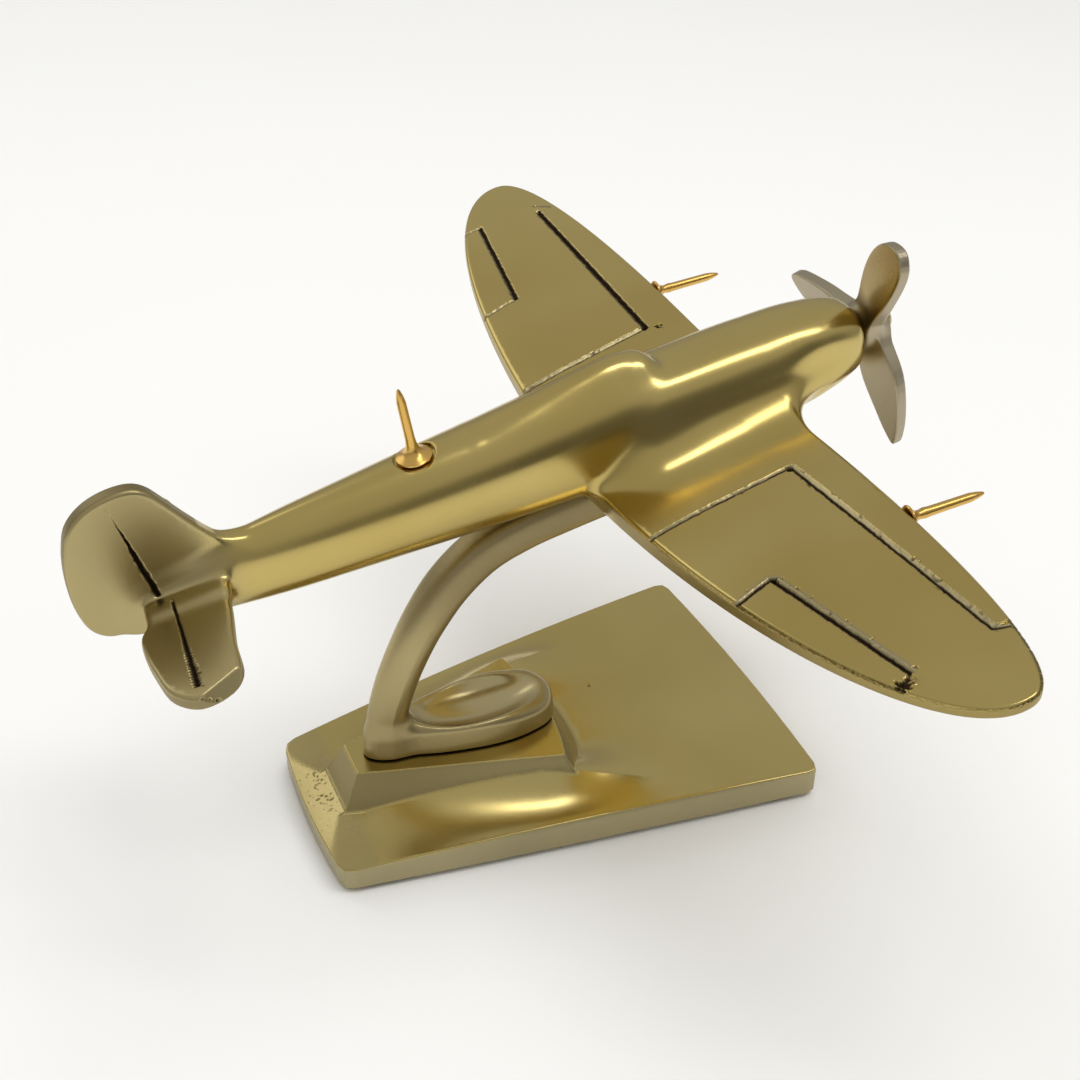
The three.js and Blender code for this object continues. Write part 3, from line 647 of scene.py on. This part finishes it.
def dish_distance(x, y, z):
    """Distance to the ellipsoid that hollows the foot, to first order."""
    dish = [(value - middle) / size for value, middle, size in zip((x, y, z), DISH_MIDDLE, DISH_SIZE)]
    radius = np.maximum(np.sqrt(sum(d * d for d in dish)), 1e-3)
    slope = np.sqrt(sum((d / size) ** 2 for d, size in zip(dish, DISH_SIZE))) / radius
    return (radius - 1) / np.maximum(slope, 1e-3)


def arm(p):
    """The arm: dished foot and curved bar, cut to fit under the belly."""
    x, y, z = p.T
    rim_z = FOOT_TOP - 1.6 * ramp(y, 22, 0)
    foot = slab(loop_distance(x, y, FOOT_LOOP) + 0.11 * (z - FOOT_BOTTOM), z - rim_z, 2.8)
    body = blend(foot, arm_bar(x, y, z), 4.5)
    body = carve(body, dish_distance(x, y, z), 1.7)
    body = meet(body, FOOT_BOTTOM - z, 0.6)
    high = z > 60
    local = p[high] - CRAFT_ORIGIN
    belly = airframe(np.stack([local[:, 0], local @ AFT, local @ UP], 1))
    body[high] = carve(body[high], belly - BELLY_GAP, 0.4)
    return body


# ---- base ----
PLATE_BOTTOM, PLATE_TOP = 1.3, 7.8
PLATE_FRONT_RISE, PLATE_CROWN = 1.4, 1.5  # the plate is thicker in front, and its sides are crowned
PLATE_LENGTH, PLATE_REAR, PLATE_FRONT = 62.6, 25.2, 44.0  # half sizes
PLATE_END_BOW, PLATE_SIDE_BOW, PLATE_CORNER = 1.5, 0.6, 3.2
PLATE_SIDE_PLACES = 9  # points along each side of its outline
PLINTH_TOP, PLINTH_REAR_Y, PLINTH_FRONT_Y = 19.5, 51.2, -2.6
PLINTH_REAR_HALF, PLINTH_FRONT_HALF = 5.6, 21.0
PLINTH_SIDE_SLOPE = 2.3  # steepness of the side faces, down to their creases
PLINTH_FRONT_CREASE, PLINTH_REAR_CREASE = 3.5, 9.6  # how far down the crease is, front and rear
PLINTH_REAR_RUN, PLINTH_FRONT_RUN, PLINTH_FRONT_BOW = 4.7, 11.05, 3.2
FRONT_SINK = 2  # how far below the plate the front slope is aimed, to leave no crease there
RAMP_HOLLOW = 1.9  # how hollow the front slope and the side ramps are
REAR_LIP, REAR_RAMP_RUN, REAR_RAMP_HOLLOW = 2.3, 8.3, 1.3  # the low ramp at the rear face's foot
# The plate's pits: the middle of the patch behind the plinth, and one ahead of it.
REAR_PITS_X, REAR_PITS_Y = 3, 59
LONE_PIT = (9.9, -21.2)
PIT_EDGE = 0.32  # longest mesh edge among them


def plate_loop():
    """The plate's outline, each side swelling outward a little between its corners."""
    corners = [(PLATE_REAR, PLATE_LENGTH), (-PLATE_REAR, PLATE_LENGTH), (-PLATE_FRONT, -PLATE_LENGTH),
               (PLATE_FRONT, -PLATE_LENGTH)]
    points = []
    for (ax, ay), (bx, by) in zip(corners, corners[1:] + corners[:1]):
        bow = PLATE_SIDE_BOW if ax * bx > 0 else PLATE_END_BOW
        way = np.array([bx - ax, by - ay])
        out = np.array([way[1], -way[0]]) / np.hypot(*way)
        turn = PLATE_CORNER / np.hypot(*way)
        for t in np.linspace(turn, 1 - turn, PLATE_SIDE_PLACES):
            points.append(tuple((ax, ay) + way * t + out * bow * 4 * t * (1 - t)))
    rounded = []
    for i, point in enumerate(points):
        if i % PLATE_SIDE_PLACES == 0:
            corner, before = np.array(corners[i // PLATE_SIDE_PLACES]), np.array(points[i - 1])
            rounded.append(tuple((2 * corner + before + point) / 4))
        rounded.append(point)
    return rounded


PLATE_LOOP = plate_loop()


def plate_height(y):
    """Height of the plate's top, which rises and crowns toward the front."""
    forward = (PLATE_LENGTH - y) / (2 * PLATE_LENGTH)
    return PLATE_TOP + PLATE_FRONT_RISE * forward + PLATE_CROWN * 4 * forward * (1 - forward)


def base_height(x, y):
    """Height of the base's upper skin: plate, plinth, and the concave ramps between."""
    plate = plate_height(y)
    front_y = PLINTH_FRONT_Y + PLINTH_FRONT_BOW * (x / PLINTH_FRONT_HALF) ** 2
    along = np.clip(y / PLINTH_REAR_Y, 0, 1)
    edge = PLINTH_FRONT_HALF + (PLINTH_REAR_HALF - PLINTH_FRONT_HALF) * y / PLINTH_REAR_Y
    drop = PLINTH_FRONT_CREASE + (PLINTH_REAR_CREASE - PLINTH_FRONT_CREASE) * along**1.7
    out = np.abs(x) - edge
    steep = PLINTH_TOP - out * PLINTH_SIDE_SLOPE
    plate_half = PLATE_REAR + (PLATE_FRONT - PLATE_REAR) * (PLATE_LENGTH - y) / (2 * PLATE_LENGTH)
    run = drop / PLINTH_SIDE_SLOPE
    down = np.clip((out - run) / np.maximum(plate_half - edge - run, 1), 0, 1)
    ahead = ramp(y, 3, -7) * ramp(np.abs(x), 23, 9)  # there the front slope alone shapes the skin
    sweep = plate + (PLINTH_TOP - drop - plate) * (1 - down) ** RAMP_HOLLOW * ramp(y, -26, 8) * (1 - ahead)
    full = PLINTH_TOP - plate
    rise = np.clip(1 - (front_y - y) / PLINTH_FRONT_RUN, 0, 2) ** RAMP_HOLLOW
    front = plate - FRONT_SINK + (full + FRONT_SINK) * rise
    side = -blend(-blend(steep, front, 1.4), -sweep, 1.0)
    rear_face = PLINTH_TOP - (y - PLINTH_REAR_Y) * (full - REAR_LIP) / PLINTH_REAR_RUN
    fade = np.clip(1 - (y - PLINTH_REAR_Y - PLINTH_REAR_RUN) / REAR_RAMP_RUN, 0, 2) ** REAR_RAMP_HOLLOW
    rear = -blend(-rear_face, -(plate + REAR_LIP * fade), 0.8)
    return blend(blend(side, rear, 0.35), PLINTH_TOP + 0 * x, 0.5)


def base(p):
    """Plate and plinth: the upper skin, cut by the plate's outline and its flat underside."""
    x, y, z = p.T
    slope_x = (base_height(x + 0.1, y) - base_height(x - 0.1, y)) / 0.2
    slope_y = (base_height(x, y + 0.1) - base_height(x, y - 0.1)) / 0.2
    top = (z - base_height(x, y)) / np.sqrt(1 + slope_x**2 + slope_y**2)
    outline = loop_distance(x, y, PLATE_LOOP)
    return meet(meet(outline, top, 0.6), PLATE_BOTTOM - z, 0.5)


# ---- propeller ----
BLADES = [(-3, 1.05, 0.3), (119, 0.95, 1.0), (246, 1.0, 0.0)]  # angle, length and roundness of tip
BLADE_POINTED = smooth_loop([(-3, 3.9), (6, 4.9), (14, 5.9), (22, 4.6), (28.5, 2.5), (32, 0), (28.5, -2.3),
                             (22, -4.4), (14, -5.9), (6, -4.9), (-3, -3.9)], 4)
BLADE_ROUND = smooth_loop([(-3, 3.9), (6, 5.1), (15, 6.8), (24, 6.6), (29.5, 4.3), (32, 0), (29.5, -4.1),
                           (24, -6.2), (15, -6.6), (6, -5.1), (-3, -3.9)], 4)
BLADE_ROOT_THICK, BLADE_TIP_THICK = 4.6, 2.9
PROP_RADIUS, HUB_RADIUS, HUB_HALF, SPINDLE_HOLE = 32, 4.8, 3.5, 1.7


def propeller(p):
    """The propeller about its own middle, with the spin axis along Y."""
    x, y, z = p.T
    spread = np.hypot(x, z)
    body = slab(spread - HUB_RADIUS, np.abs(y) - HUB_HALF, 1.2)
    for degrees, length, roundness in BLADES:
        turn = math.radians(degrees)
        out = (x * math.cos(turn) + z * math.sin(turn)) / length
        share = np.clip(out / PROP_RADIUS, 0, 1)
        across = x * math.sin(turn) - z * math.cos(turn) - 1.6 * np.sin(math.pi * share)
        pitch = np.radians(16 - 8 * share)
        wide = across * np.cos(pitch) - y * np.sin(pitch)
        deep = across * np.sin(pitch) + y * np.cos(pitch)
        half = (BLADE_ROOT_THICK + (BLADE_TIP_THICK - BLADE_ROOT_THICK) * share) / 2
        outline = BLADE_POINTED + (BLADE_ROUND - BLADE_POINTED) * roundness
        face = np.abs(deep) - half * (1 - 0.12 * (wide / 6) ** 2)
        body = blend(body, slab(loop_distance(out, wide, outline), face, 0.6), 2.4)
    return carve(body, spread - SPINDLE_HOLE, 0.2)


# ---- pieces ----
def put(name, data):
    """An object in the scene for a mesh, light or camera."""
    made = bpy.data.objects.new(name, data)
    bpy.context.scene.collection.objects.link(made)
    return made


def make_piece(name, points, faces, look, body, nodes, normal=None, stain=None):
    """A Blender mesh in the row frame from points in millimetres, riding on a CAD body.

    stain holds each point's dirt with its painted shade, and dullness, from 0 to 1.
    """
    mesh = bpy.data.meshes.new(name)
    mesh.from_pydata((points * MM).tolist(), [], faces.tolist() if isinstance(faces, np.ndarray) else faces)
    mesh.validate()
    mesh.polygons.foreach_set("use_smooth", np.ones(len(mesh.polygons), bool))
    for title, amount in zip(("dirt", "dull"), stain or ()):
        layer = mesh.attributes.new(title, "FLOAT", "POINT")
        layer.data.foreach_set("value", amount.astype(np.float32))
    if normal is not None:
        mesh.normals_split_custom_set_from_vertices(normal.tolist())
    mesh.materials.append(look)
    made = put(name, mesh)
    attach(made, body)
    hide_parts(*nodes)
    return made


def make_airframe(look):
    reach = WING_REACH + 2
    points, tris = skin(airframe, (-reach, NOSE_Y - 2, -17), (reach, 141, 33), 1.2, bend=0.24, least=0.4,
                        wanted=airframe_edge)
    normal = unit(gradient(airframe, points))
    stain = airframe_stain_and_shade(points, normal)
    points, normal = engrave(points, normal, airframe_depth)
    world = craft_to_world(points) + CRAFT_ORIGIN
    return make_piece("airframe", world, tris, look, "ornament", ["airframe_casting"],
                      craft_to_world(normal), stain)


def make_arm(look):
    points, tris = skin(arm, (-12, -24, 18), (12, 49, 92), 0.95, bend=0.16, least=0.3)
    normal = unit(gradient(arm, points))
    # darker in the half millimetre where the foot stands on the base, and a little darker up the arm from 50
    # to 72 mm high
    dirt = np.maximum(ramp(points[:, 2], FOOT_BOTTOM + 0.5, FOOT_BOTTOM), 0.3 * ramp(points[:, 2], 50, 72))
    dull = ramp(dish_distance(*points.T), 0.1, 1.5)
    return make_piece("arm", points, tris, look, "ornament", ["stand_arm"], normal, (dirt, dull))


def base_pits(p):
    """Casting pits: many on the plate behind the plinth, and one ahead of it."""
    x, y, z = p.T
    rear = np.exp(-((x - REAR_PITS_X) / 10) ** 2 - ((y - REAR_PITS_Y) / 3.5) ** 2)
    lumps = np.clip(speckle(p, 0.6, 5) - 0.6 + 0.15 * rear, 0, 1) * rear
    lone = np.clip(1 - np.hypot(x - LONE_PIT[0], y - LONE_PIT[1]) / 0.8, 0, 1)
    return (0.8 * lumps + 0.3 * lone) * ramp(z, 6, 7)


def base_depth(p, normal):
    """The pits, on upper skin only."""
    return base_pits(p) * ramp(normal[:, 2], 0.5, 0.8)


def base_edge(p):
    """The mesh edge length wanted at a place: short among the pits."""
    x, y, z = p.T
    rear = ((x - REAR_PITS_X) / 18) ** 2 + ((y - REAR_PITS_Y) / 6) ** 2 < 1
    lone = np.hypot(x - LONE_PIT[0], y - LONE_PIT[1]) < 1.2
    return np.where((rear | lone) & (z > PLATE_TOP - 1), PIT_EDGE, OPEN_EDGE)


def base_stain(p, normal):
    """Dirt in the pits, and the dull of linished sides and of the unpolished rear."""
    side = ramp(np.abs(normal[:, 2]), 0.3, 0.1)
    steep = 0.5 * ramp(normal[:, 2], 0.6, 0.45) * ramp(p[:, 2], 8.5, 10)
    rear = 0.35 * ramp(p[:, 1], PLINTH_REAR_Y + 1, PLINTH_REAR_Y + 3) * ramp(p[:, 2], 7, 7.8)
    dirt = np.maximum(ramp(base_depth(p, normal), 0.08, 0.3), 0.6 * steep)
    return dirt, np.maximum(side, np.maximum(steep, rear))


def make_base(look):
    points, tris = skin(base, (-48, -68, 0), (48, 68, 21), 1.4, bend=0.16, least=0.3, wanted=base_edge)
    normal = unit(gradient(base, points))
    stain = base_stain(points, normal)
    points, normal = engrave(points, normal, base_depth)
    return make_piece("base", points, tris, look, "ornament", ["base_casting"], normal, stain)


def propeller_stain(p, normal):
    """Old brown round the hub; pale worn edges, and two blades pale all over."""
    spread = np.hypot(p[:, 0], p[:, 2])
    edge = ramp(np.abs(normal[:, 1]), 0.8, 0.5)
    upper_blade = ramp(p[:, 2] - 0.3 * np.abs(p[:, 0]), -1, 2)
    pale = 0.85 * (1 - upper_blade) * ramp(spread, 6, 12)
    return 0.6 * ramp(spread, 11, 5) * (1 - edge), np.maximum(edge, pale)


def make_propeller(look):
    reach = PROP_RADIUS + 4
    points, tris = skin(propeller, (-reach, -6, -reach), (reach, 6, reach), 0.8, bend=0.2, least=0.3)
    normal = unit(gradient(propeller, points))
    stain = propeller_stain(points, normal)
    world = craft_to_world(points) + SPIN_PLACE
    return make_piece("propeller_cast", world, tris, look, "propeller", ["propeller"],
                      craft_to_world(normal), stain)


def stack_rings(rings, foot, top):
    """Points and faces of rings standing on each other, closed at heights foot and top."""
    count, last = len(rings[0]), (len(rings) - 1) * len(rings[0])
    low, high = last + count, last + count + 1
    faces = []
    for i in range(count):
        j = (i + 1) % count
        faces += [(row + i, row + j, row + count + j, row + count + i) for row in range(0, last, count)]
        faces += [(low, j, i), (high, last + i, last + j)]
    return np.concatenate(rings + [[[0, 0, foot]], [[0, 0, top]]]), faces


def lathe(outline, sides=40):
    """A turned shape standing along +Z from (radius, height) places, closed at both ends."""
    turn = np.arange(sides) * 2 * math.pi / sides
    rings = [np.stack([r * np.cos(turn), r * np.sin(turn), np.full(sides, h)], 1) for r, h in outline]
    return stack_rings(rings, outline[0][1], outline[-1][1])


def place_along(points, start, way):
    """Turns points standing along +Z to stand along way, with their foot at start."""
    turn = Vector((0, 0, 1)).rotation_difference(Vector(way)).to_matrix()
    return points @ np.array(turn).T + np.array(start)


NAIL_SHANK = 1.15


def nail_outline(head, length):
    """Radius and height up a nail: head, flared neck, shank and point."""
    shank = NAIL_SHANK
    return [(head * 0.55, 0.0), (head * 0.93, 0.05), (head, 0.28), (head * 0.985, 0.55), (head * 0.86, 0.85),
            (head * 0.62, 1.25), (head * 0.44, 1.9), (head * 0.36, 2.7), (shank * 1.1, 4.0), (shank, 5.4),
            (shank * 0.93, length - 3.6), (shank * 0.7, length - 1.8), (shank * 0.4, length - 0.5),
            (shank * 0.25, length - 0.1)]


def make_nail(name, node, head, length, start, way, look):
    """One of the brass nails, its head standing at start and its point lying along way."""
    points, faces = lathe(nail_outline(head, length))
    made = make_piece(name, place_along(points, start, way), faces, look, "ornament", [node])
    made.data.set_sharp_from_angle(angle=math.radians(38))
    return made


FELT_SHARE = 0.965  # the pad's outline against the plate's
FELT_EDGE = [(-1.2, 0.03), (-0.25, 0.0), (0.0, 0.25), (0.05, 0.6), (-0.1, 0.92), (-1.2, 1.0)]  # out, up


def make_felt(look):
    """The felt pad: a slab with a rounded, slightly furry edge, a little inside the plate."""
    rim = smooth_loop(np.array(PLATE_LOOP) * FELT_SHARE, 8)
    fuzz = 0.18 * speckle(np.column_stack([rim, np.zeros(len(rim))]), 0.9, 7)
    rings = [np.column_stack([rim + unit(rim) * (outward + fuzz)[:, None], np.full(len(rim), height)])
             for outward, height in FELT_EDGE]
    points, faces = stack_rings(rings, FELT_EDGE[0][1], FELT_EDGE[-1][1])
    made = make_piece("felt_pad", points, faces, look, "ornament", ["base_felt"])
    return made


# ---- materials ----
class Nodes:
    """A material's or world's node tree, with short calls for the nodes used here."""

    def __init__(self, owner, shader="Principled BSDF", place="Object"):
        owner.use_nodes = True
        self.owner, self.tree = owner, owner.node_tree
        self.shader = self.tree.nodes[shader]
        self.place = self.add("TexCoord", {}, place)

    def feed(self, socket, value):
        """Gives a socket a number, a colour or vector, or the output of another node."""
        if isinstance(value, bpy.types.NodeSocket):
            self.tree.links.new(value, socket)
        elif isinstance(value, tuple):
            socket.default_value = (*value, 1)[:len(socket.default_value)]
        else:
            socket.default_value = value

    def add(self, kind, inputs, output=0, **settings):
        """One output of a new node with these settings and inputs."""
        node = self.tree.nodes.new("ShaderNode" + kind)
        for name, value in settings.items():
            setattr(node, name, value)
        for name, value in inputs.items():
            self.feed(node.inputs[name], value)
        return node.outputs[output]

    def give(self, name, value):
        self.feed(self.shader.inputs[name], value)

    def noise(self, scale, detail=3.0, rough=0.5, place=None):
        return self.add("TexNoise", {"Vector": place or self.place, "Scale": scale, "Detail": detail,
                                     "Roughness": rough}, "Fac")

    def spread(self, value, low, high, to_low, to_high, **settings):
        return self.add("MapRange", {"Value": value, "From Min": low, "From Max": high, "To Min": to_low,
                                     "To Max": to_high}, "Result", **settings)

    def sum(self, a, b):
        return self.add("Math", {0: a, 1: b}, operation="ADD")

    def times(self, a, b):
        return self.add("Math", {0: a, 1: b}, operation="MULTIPLY")

    def colour(self, share, a, b):
        """Colour a where share is 0, and b where it is 1."""
        return self.add("Mix", {0: share, 6: a, 7: b}, 2, data_type="RGBA")

    def bump(self, height, strength, distance):
        self.give("Normal", self.add("Bump", {"Height": height, "Strength": strength, "Distance": distance}))

    def attribute(self, name):
        return self.add("Attribute", {}, "Fac", attribute_name=name)


DIRT_AND_SHADE_COLOUR, DIRT_AND_SHADE_ROUGH = (0.05, 0.031, 0.017), 0.4  # colour of the dirt and of the painted shade, and how rough they are
DULL_FALL = 0.78  # how much darker the clouds are on the dull parts


def brass(name, bright, deep, rough, dull_tone=(0.6, 0.53, 0.33), dull_rough=0.2, grain=(260, 2600, 900),
          grain_depth=0.2):
    """Cast brass: cloudy tarnish between two colours, polishing marks, dull parts, and dirt with painted
    shade.
    """
    n = Nodes(bpy.data.materials.new(name))
    cloud = n.spread(n.noise(22, 2, 0.45), 0.3, 0.72, 0, 1)
    dull, dirt = n.attribute("dull"), n.attribute("dirt")
    dull_deep = tuple(DULL_FALL * part for part in dull_tone)
    tone = n.colour(dull, n.colour(cloud, bright, deep), n.colour(cloud, dull_tone, dull_deep))
    n.give("Base Color", n.colour(dirt, tone, DIRT_AND_SHADE_COLOUR))
    marks = n.noise(1, 2, 0.6, n.add("Mapping", {"Vector": n.place, "Scale": grain}))
    smear = n.spread(n.noise(40, 3, 0.6), 0.35, 0.7, -0.02, 0.03)
    change = n.sum(smear, n.spread(marks, 0.3, 0.7, -0.01, 0.02))
    stained = n.sum(n.times(dull, dull_rough), n.times(dirt, DIRT_AND_SHADE_ROUGH))
    n.give("Roughness", n.sum(n.sum(change, rough), stained))
    n.bump(n.times(marks, n.times(dull, grain_depth)), 0.5, 0.0001)
    n.give("Metallic", 1)
    return n.owner


def steel(name):
    """Zinc-plated steel, faintly clouded."""
    n = Nodes(bpy.data.materials.new(name))
    cloud = n.spread(n.noise(300, 3), 0.35, 0.7, 0, 1)
    n.give("Base Color", n.colour(cloud, (0.5, 0.5, 0.47), (0.36, 0.35, 0.32)))
    n.give("Roughness", n.spread(n.noise(900, 3), 0.3, 0.7, 0.25, 0.42))
    n.bump(n.noise(2500, 2), 0.2, 0.00005)
    n.give("Metallic", 1)
    return n.owner


def felt(name):
    """Dark green felt with a short nap."""
    n = Nodes(bpy.data.materials.new(name))
    fibres = n.noise(2600, 4, 0.7)
    cloud = n.spread(fibres, 0.3, 0.7, 0, 1)
    n.give("Base Color", n.colour(cloud, (0.008, 0.02, 0.012), (0.03, 0.055, 0.035)))
    n.give("Roughness", n.spread(fibres, 0.3, 0.7, 0.85, 1))
    n.bump(fibres, 0.8, 0.0003)
    n.give("Sheen Weight", 0.4)
    return n.owner


def paper(name):
    """White backdrop paper."""
    n = Nodes(bpy.data.materials.new(name))
    n.give("Base Color", n.colour(n.noise(6, 2), (0.93, 0.93, 0.92), (0.95, 0.95, 0.945)))
    n.give("Roughness", 0.9)
    n.give("Specular IOR Level", 0.1)
    return n.owner


# ---- studio ----
FLOOR_HALF = 4.0


def make_floor():
    """A wide sheet of white paper under the ornament."""
    mesh = bpy.data.meshes.new("floor")
    corners = ((-1, -1), (1, -1), (1, 1), (-1, 1))
    mesh.from_pydata([(x * FLOOR_HALF, y * FLOOR_HALF, 0) for x, y in corners], [], [(0, 1, 2, 3)])
    mesh.materials.append(paper("floor_paper"))
    put("floor", mesh)


def aim(name, data, place, way):
    """A light or camera standing at place and facing along way."""
    made = put(name, data)
    made.location = place
    made.rotation_mode = "QUATERNION"
    made.rotation_quaternion = way.to_track_quat("-Z", "Y")
    return made


def softbox(name, place, target, size, power, mirrored=True):
    """A rectangular area light; mirrored says whether the polish reflects it."""
    light = bpy.data.lights.new(name, "AREA")
    light.shape = "RECTANGLE"
    light.size, light.size_y = size
    light.energy = power
    aim(name, light, place, Vector(target) - Vector(place)).visible_glossy = mirrored


CAMERA_PLACE = Vector((-0.2750, 0.1219, 0.2941))
CAMERA_LOOK = Vector((0.7353, -0.3306, -0.5916))
CAMERA_LENS, CAMERA_SENSOR = 50.78, 36


def make_camera():
    """The camera, above and to starboard of the tail."""
    camera = bpy.data.cameras.new("camera")
    camera.lens, camera.sensor_width = CAMERA_LENS, CAMERA_SENSOR
    camera.clip_start, camera.clip_end = 0.01, 20
    bpy.context.scene.camera = aim("camera", camera, CAMERA_PLACE, CAMERA_LOOK)


ROOM_GREYS = [(0.0, 0.36), (0.22, 0.4), (0.5, 0.51), (1.0, 0.55)]  # height in the sky, and its grey
ROOM_TINT = (1, 0.985, 0.95)
DARK_CORNER = (-0.92, -0.35, 0.1)  # where the unlit side of the room shows in the polish


def make_studio():
    """A grey studio, darker at the horizon, with a strip light overhead and a panel behind."""
    world = bpy.data.worlds.new("studio")
    bpy.context.scene.world = world
    n = Nodes(world, "Background", "Generated")
    shade = n.add("ValToRGB", {"Fac": n.add("SeparateXYZ", {0: n.place}, "Z")}, "Color")
    stops = shade.node.color_ramp.elements
    while len(stops) < len(ROOM_GREYS):
        stops.new(0.5)
    for stop, (at, grey) in zip(stops, ROOM_GREYS):
        stop.position = at
        stop.color = (*(grey * tint for tint in ROOM_TINT), 1)
    dark_way = tuple(Vector(DARK_CORNER).normalized())
    toward = n.add("VectorMath", {0: n.place, 1: dark_way}, "Value", operation="DOT_PRODUCT")
    n.give("Color", shade)
    n.give("Strength", n.spread(toward, 0.84, 0.97, 1.0, 0.4, interpolation_type="SMOOTHSTEP"))
    middle = (0, 0, 0.08)
    softbox("key", (-0.24, -0.40, 1.15), middle, (0.22, 0.9), 2.7)
    softbox("rear_panel", (0.80, 0.45, 0.62), middle, (0.55, 0.6), 0.8)
    softbox("floor_fill", (0, 0, 1.6), middle, (1.8, 1.8), 13.5, mirrored=False)
    bpy.context.scene.view_settings.view_transform = "Standard"


# ---- making it ----
make_camera()
make_floor()
make_studio()

polished = brass("polished_brass", (0.58, 0.46, 0.17), (0.505, 0.38, 0.12), 0.2, (0.46, 0.4, 0.24))
base_look = brass("base_brass", (0.58, 0.47, 0.19), (0.51, 0.4, 0.145), 0.22, (0.46, 0.4, 0.23), 0.16,
                  (700, 260, 2600), 0.5)
arm_look = brass("arm_brass", (0.58, 0.49, 0.27), (0.5, 0.415, 0.21), 0.21, (0.46, 0.375, 0.185), 0.12,
                 (900, 1500, 300), 0.6)
propeller_look = brass("propeller_brass", (0.38, 0.27, 0.09), (0.33, 0.24, 0.08), 0.28,
                       (0.47, 0.41, 0.29), 0.12, (400, 2200, 400), 0.6)
nail_look = brass("nail_brass", (0.78, 0.50, 0.14), (0.66, 0.41, 0.11), 0.24, grain=(3000, 3000, 600))
pin_look = brass("pin_brass", (0.52, 0.43, 0.22), (0.42, 0.33, 0.16), 0.35)
steel_look = steel("screw_steel")

make_airframe(polished)
make_arm(arm_look)
make_base(base_look)
make_propeller(propeller_look)
make_felt(felt("felt"))

mast_foot = craft_to_world(np.array([[0, MAST_Y, MAST_SEAT_Z + MAST_CLEARANCE]]))[0] + CRAFT_ORIGIN
make_nail("mast_nail", "aerial_mast", MAST_HEAD, MAST_LENGTH, mast_foot, UP, nail_look)
for node, gun_x in GUNS.items():
    y, z = gun_y(gun_x), gun_z(gun_x)
    foot, point = craft_to_world(np.array([[gun_x, y - GUN_CLEARANCE, z],
                                           [gun_x - GUN_LEAN, y - GUN_LENGTH, z - GUN_LEAN]]))
    make_nail(node + "_nail", node, GUN_HEAD, GUN_LENGTH, foot + CRAFT_ORIGIN, point - foot, nail_look)

for node, thing in frame["nodes"].items():
    if not thing.hide_render:
        thing.data.materials.clear()
        thing.data.materials.append(steel_look if "screw" in node or "foot" in node else pin_look)
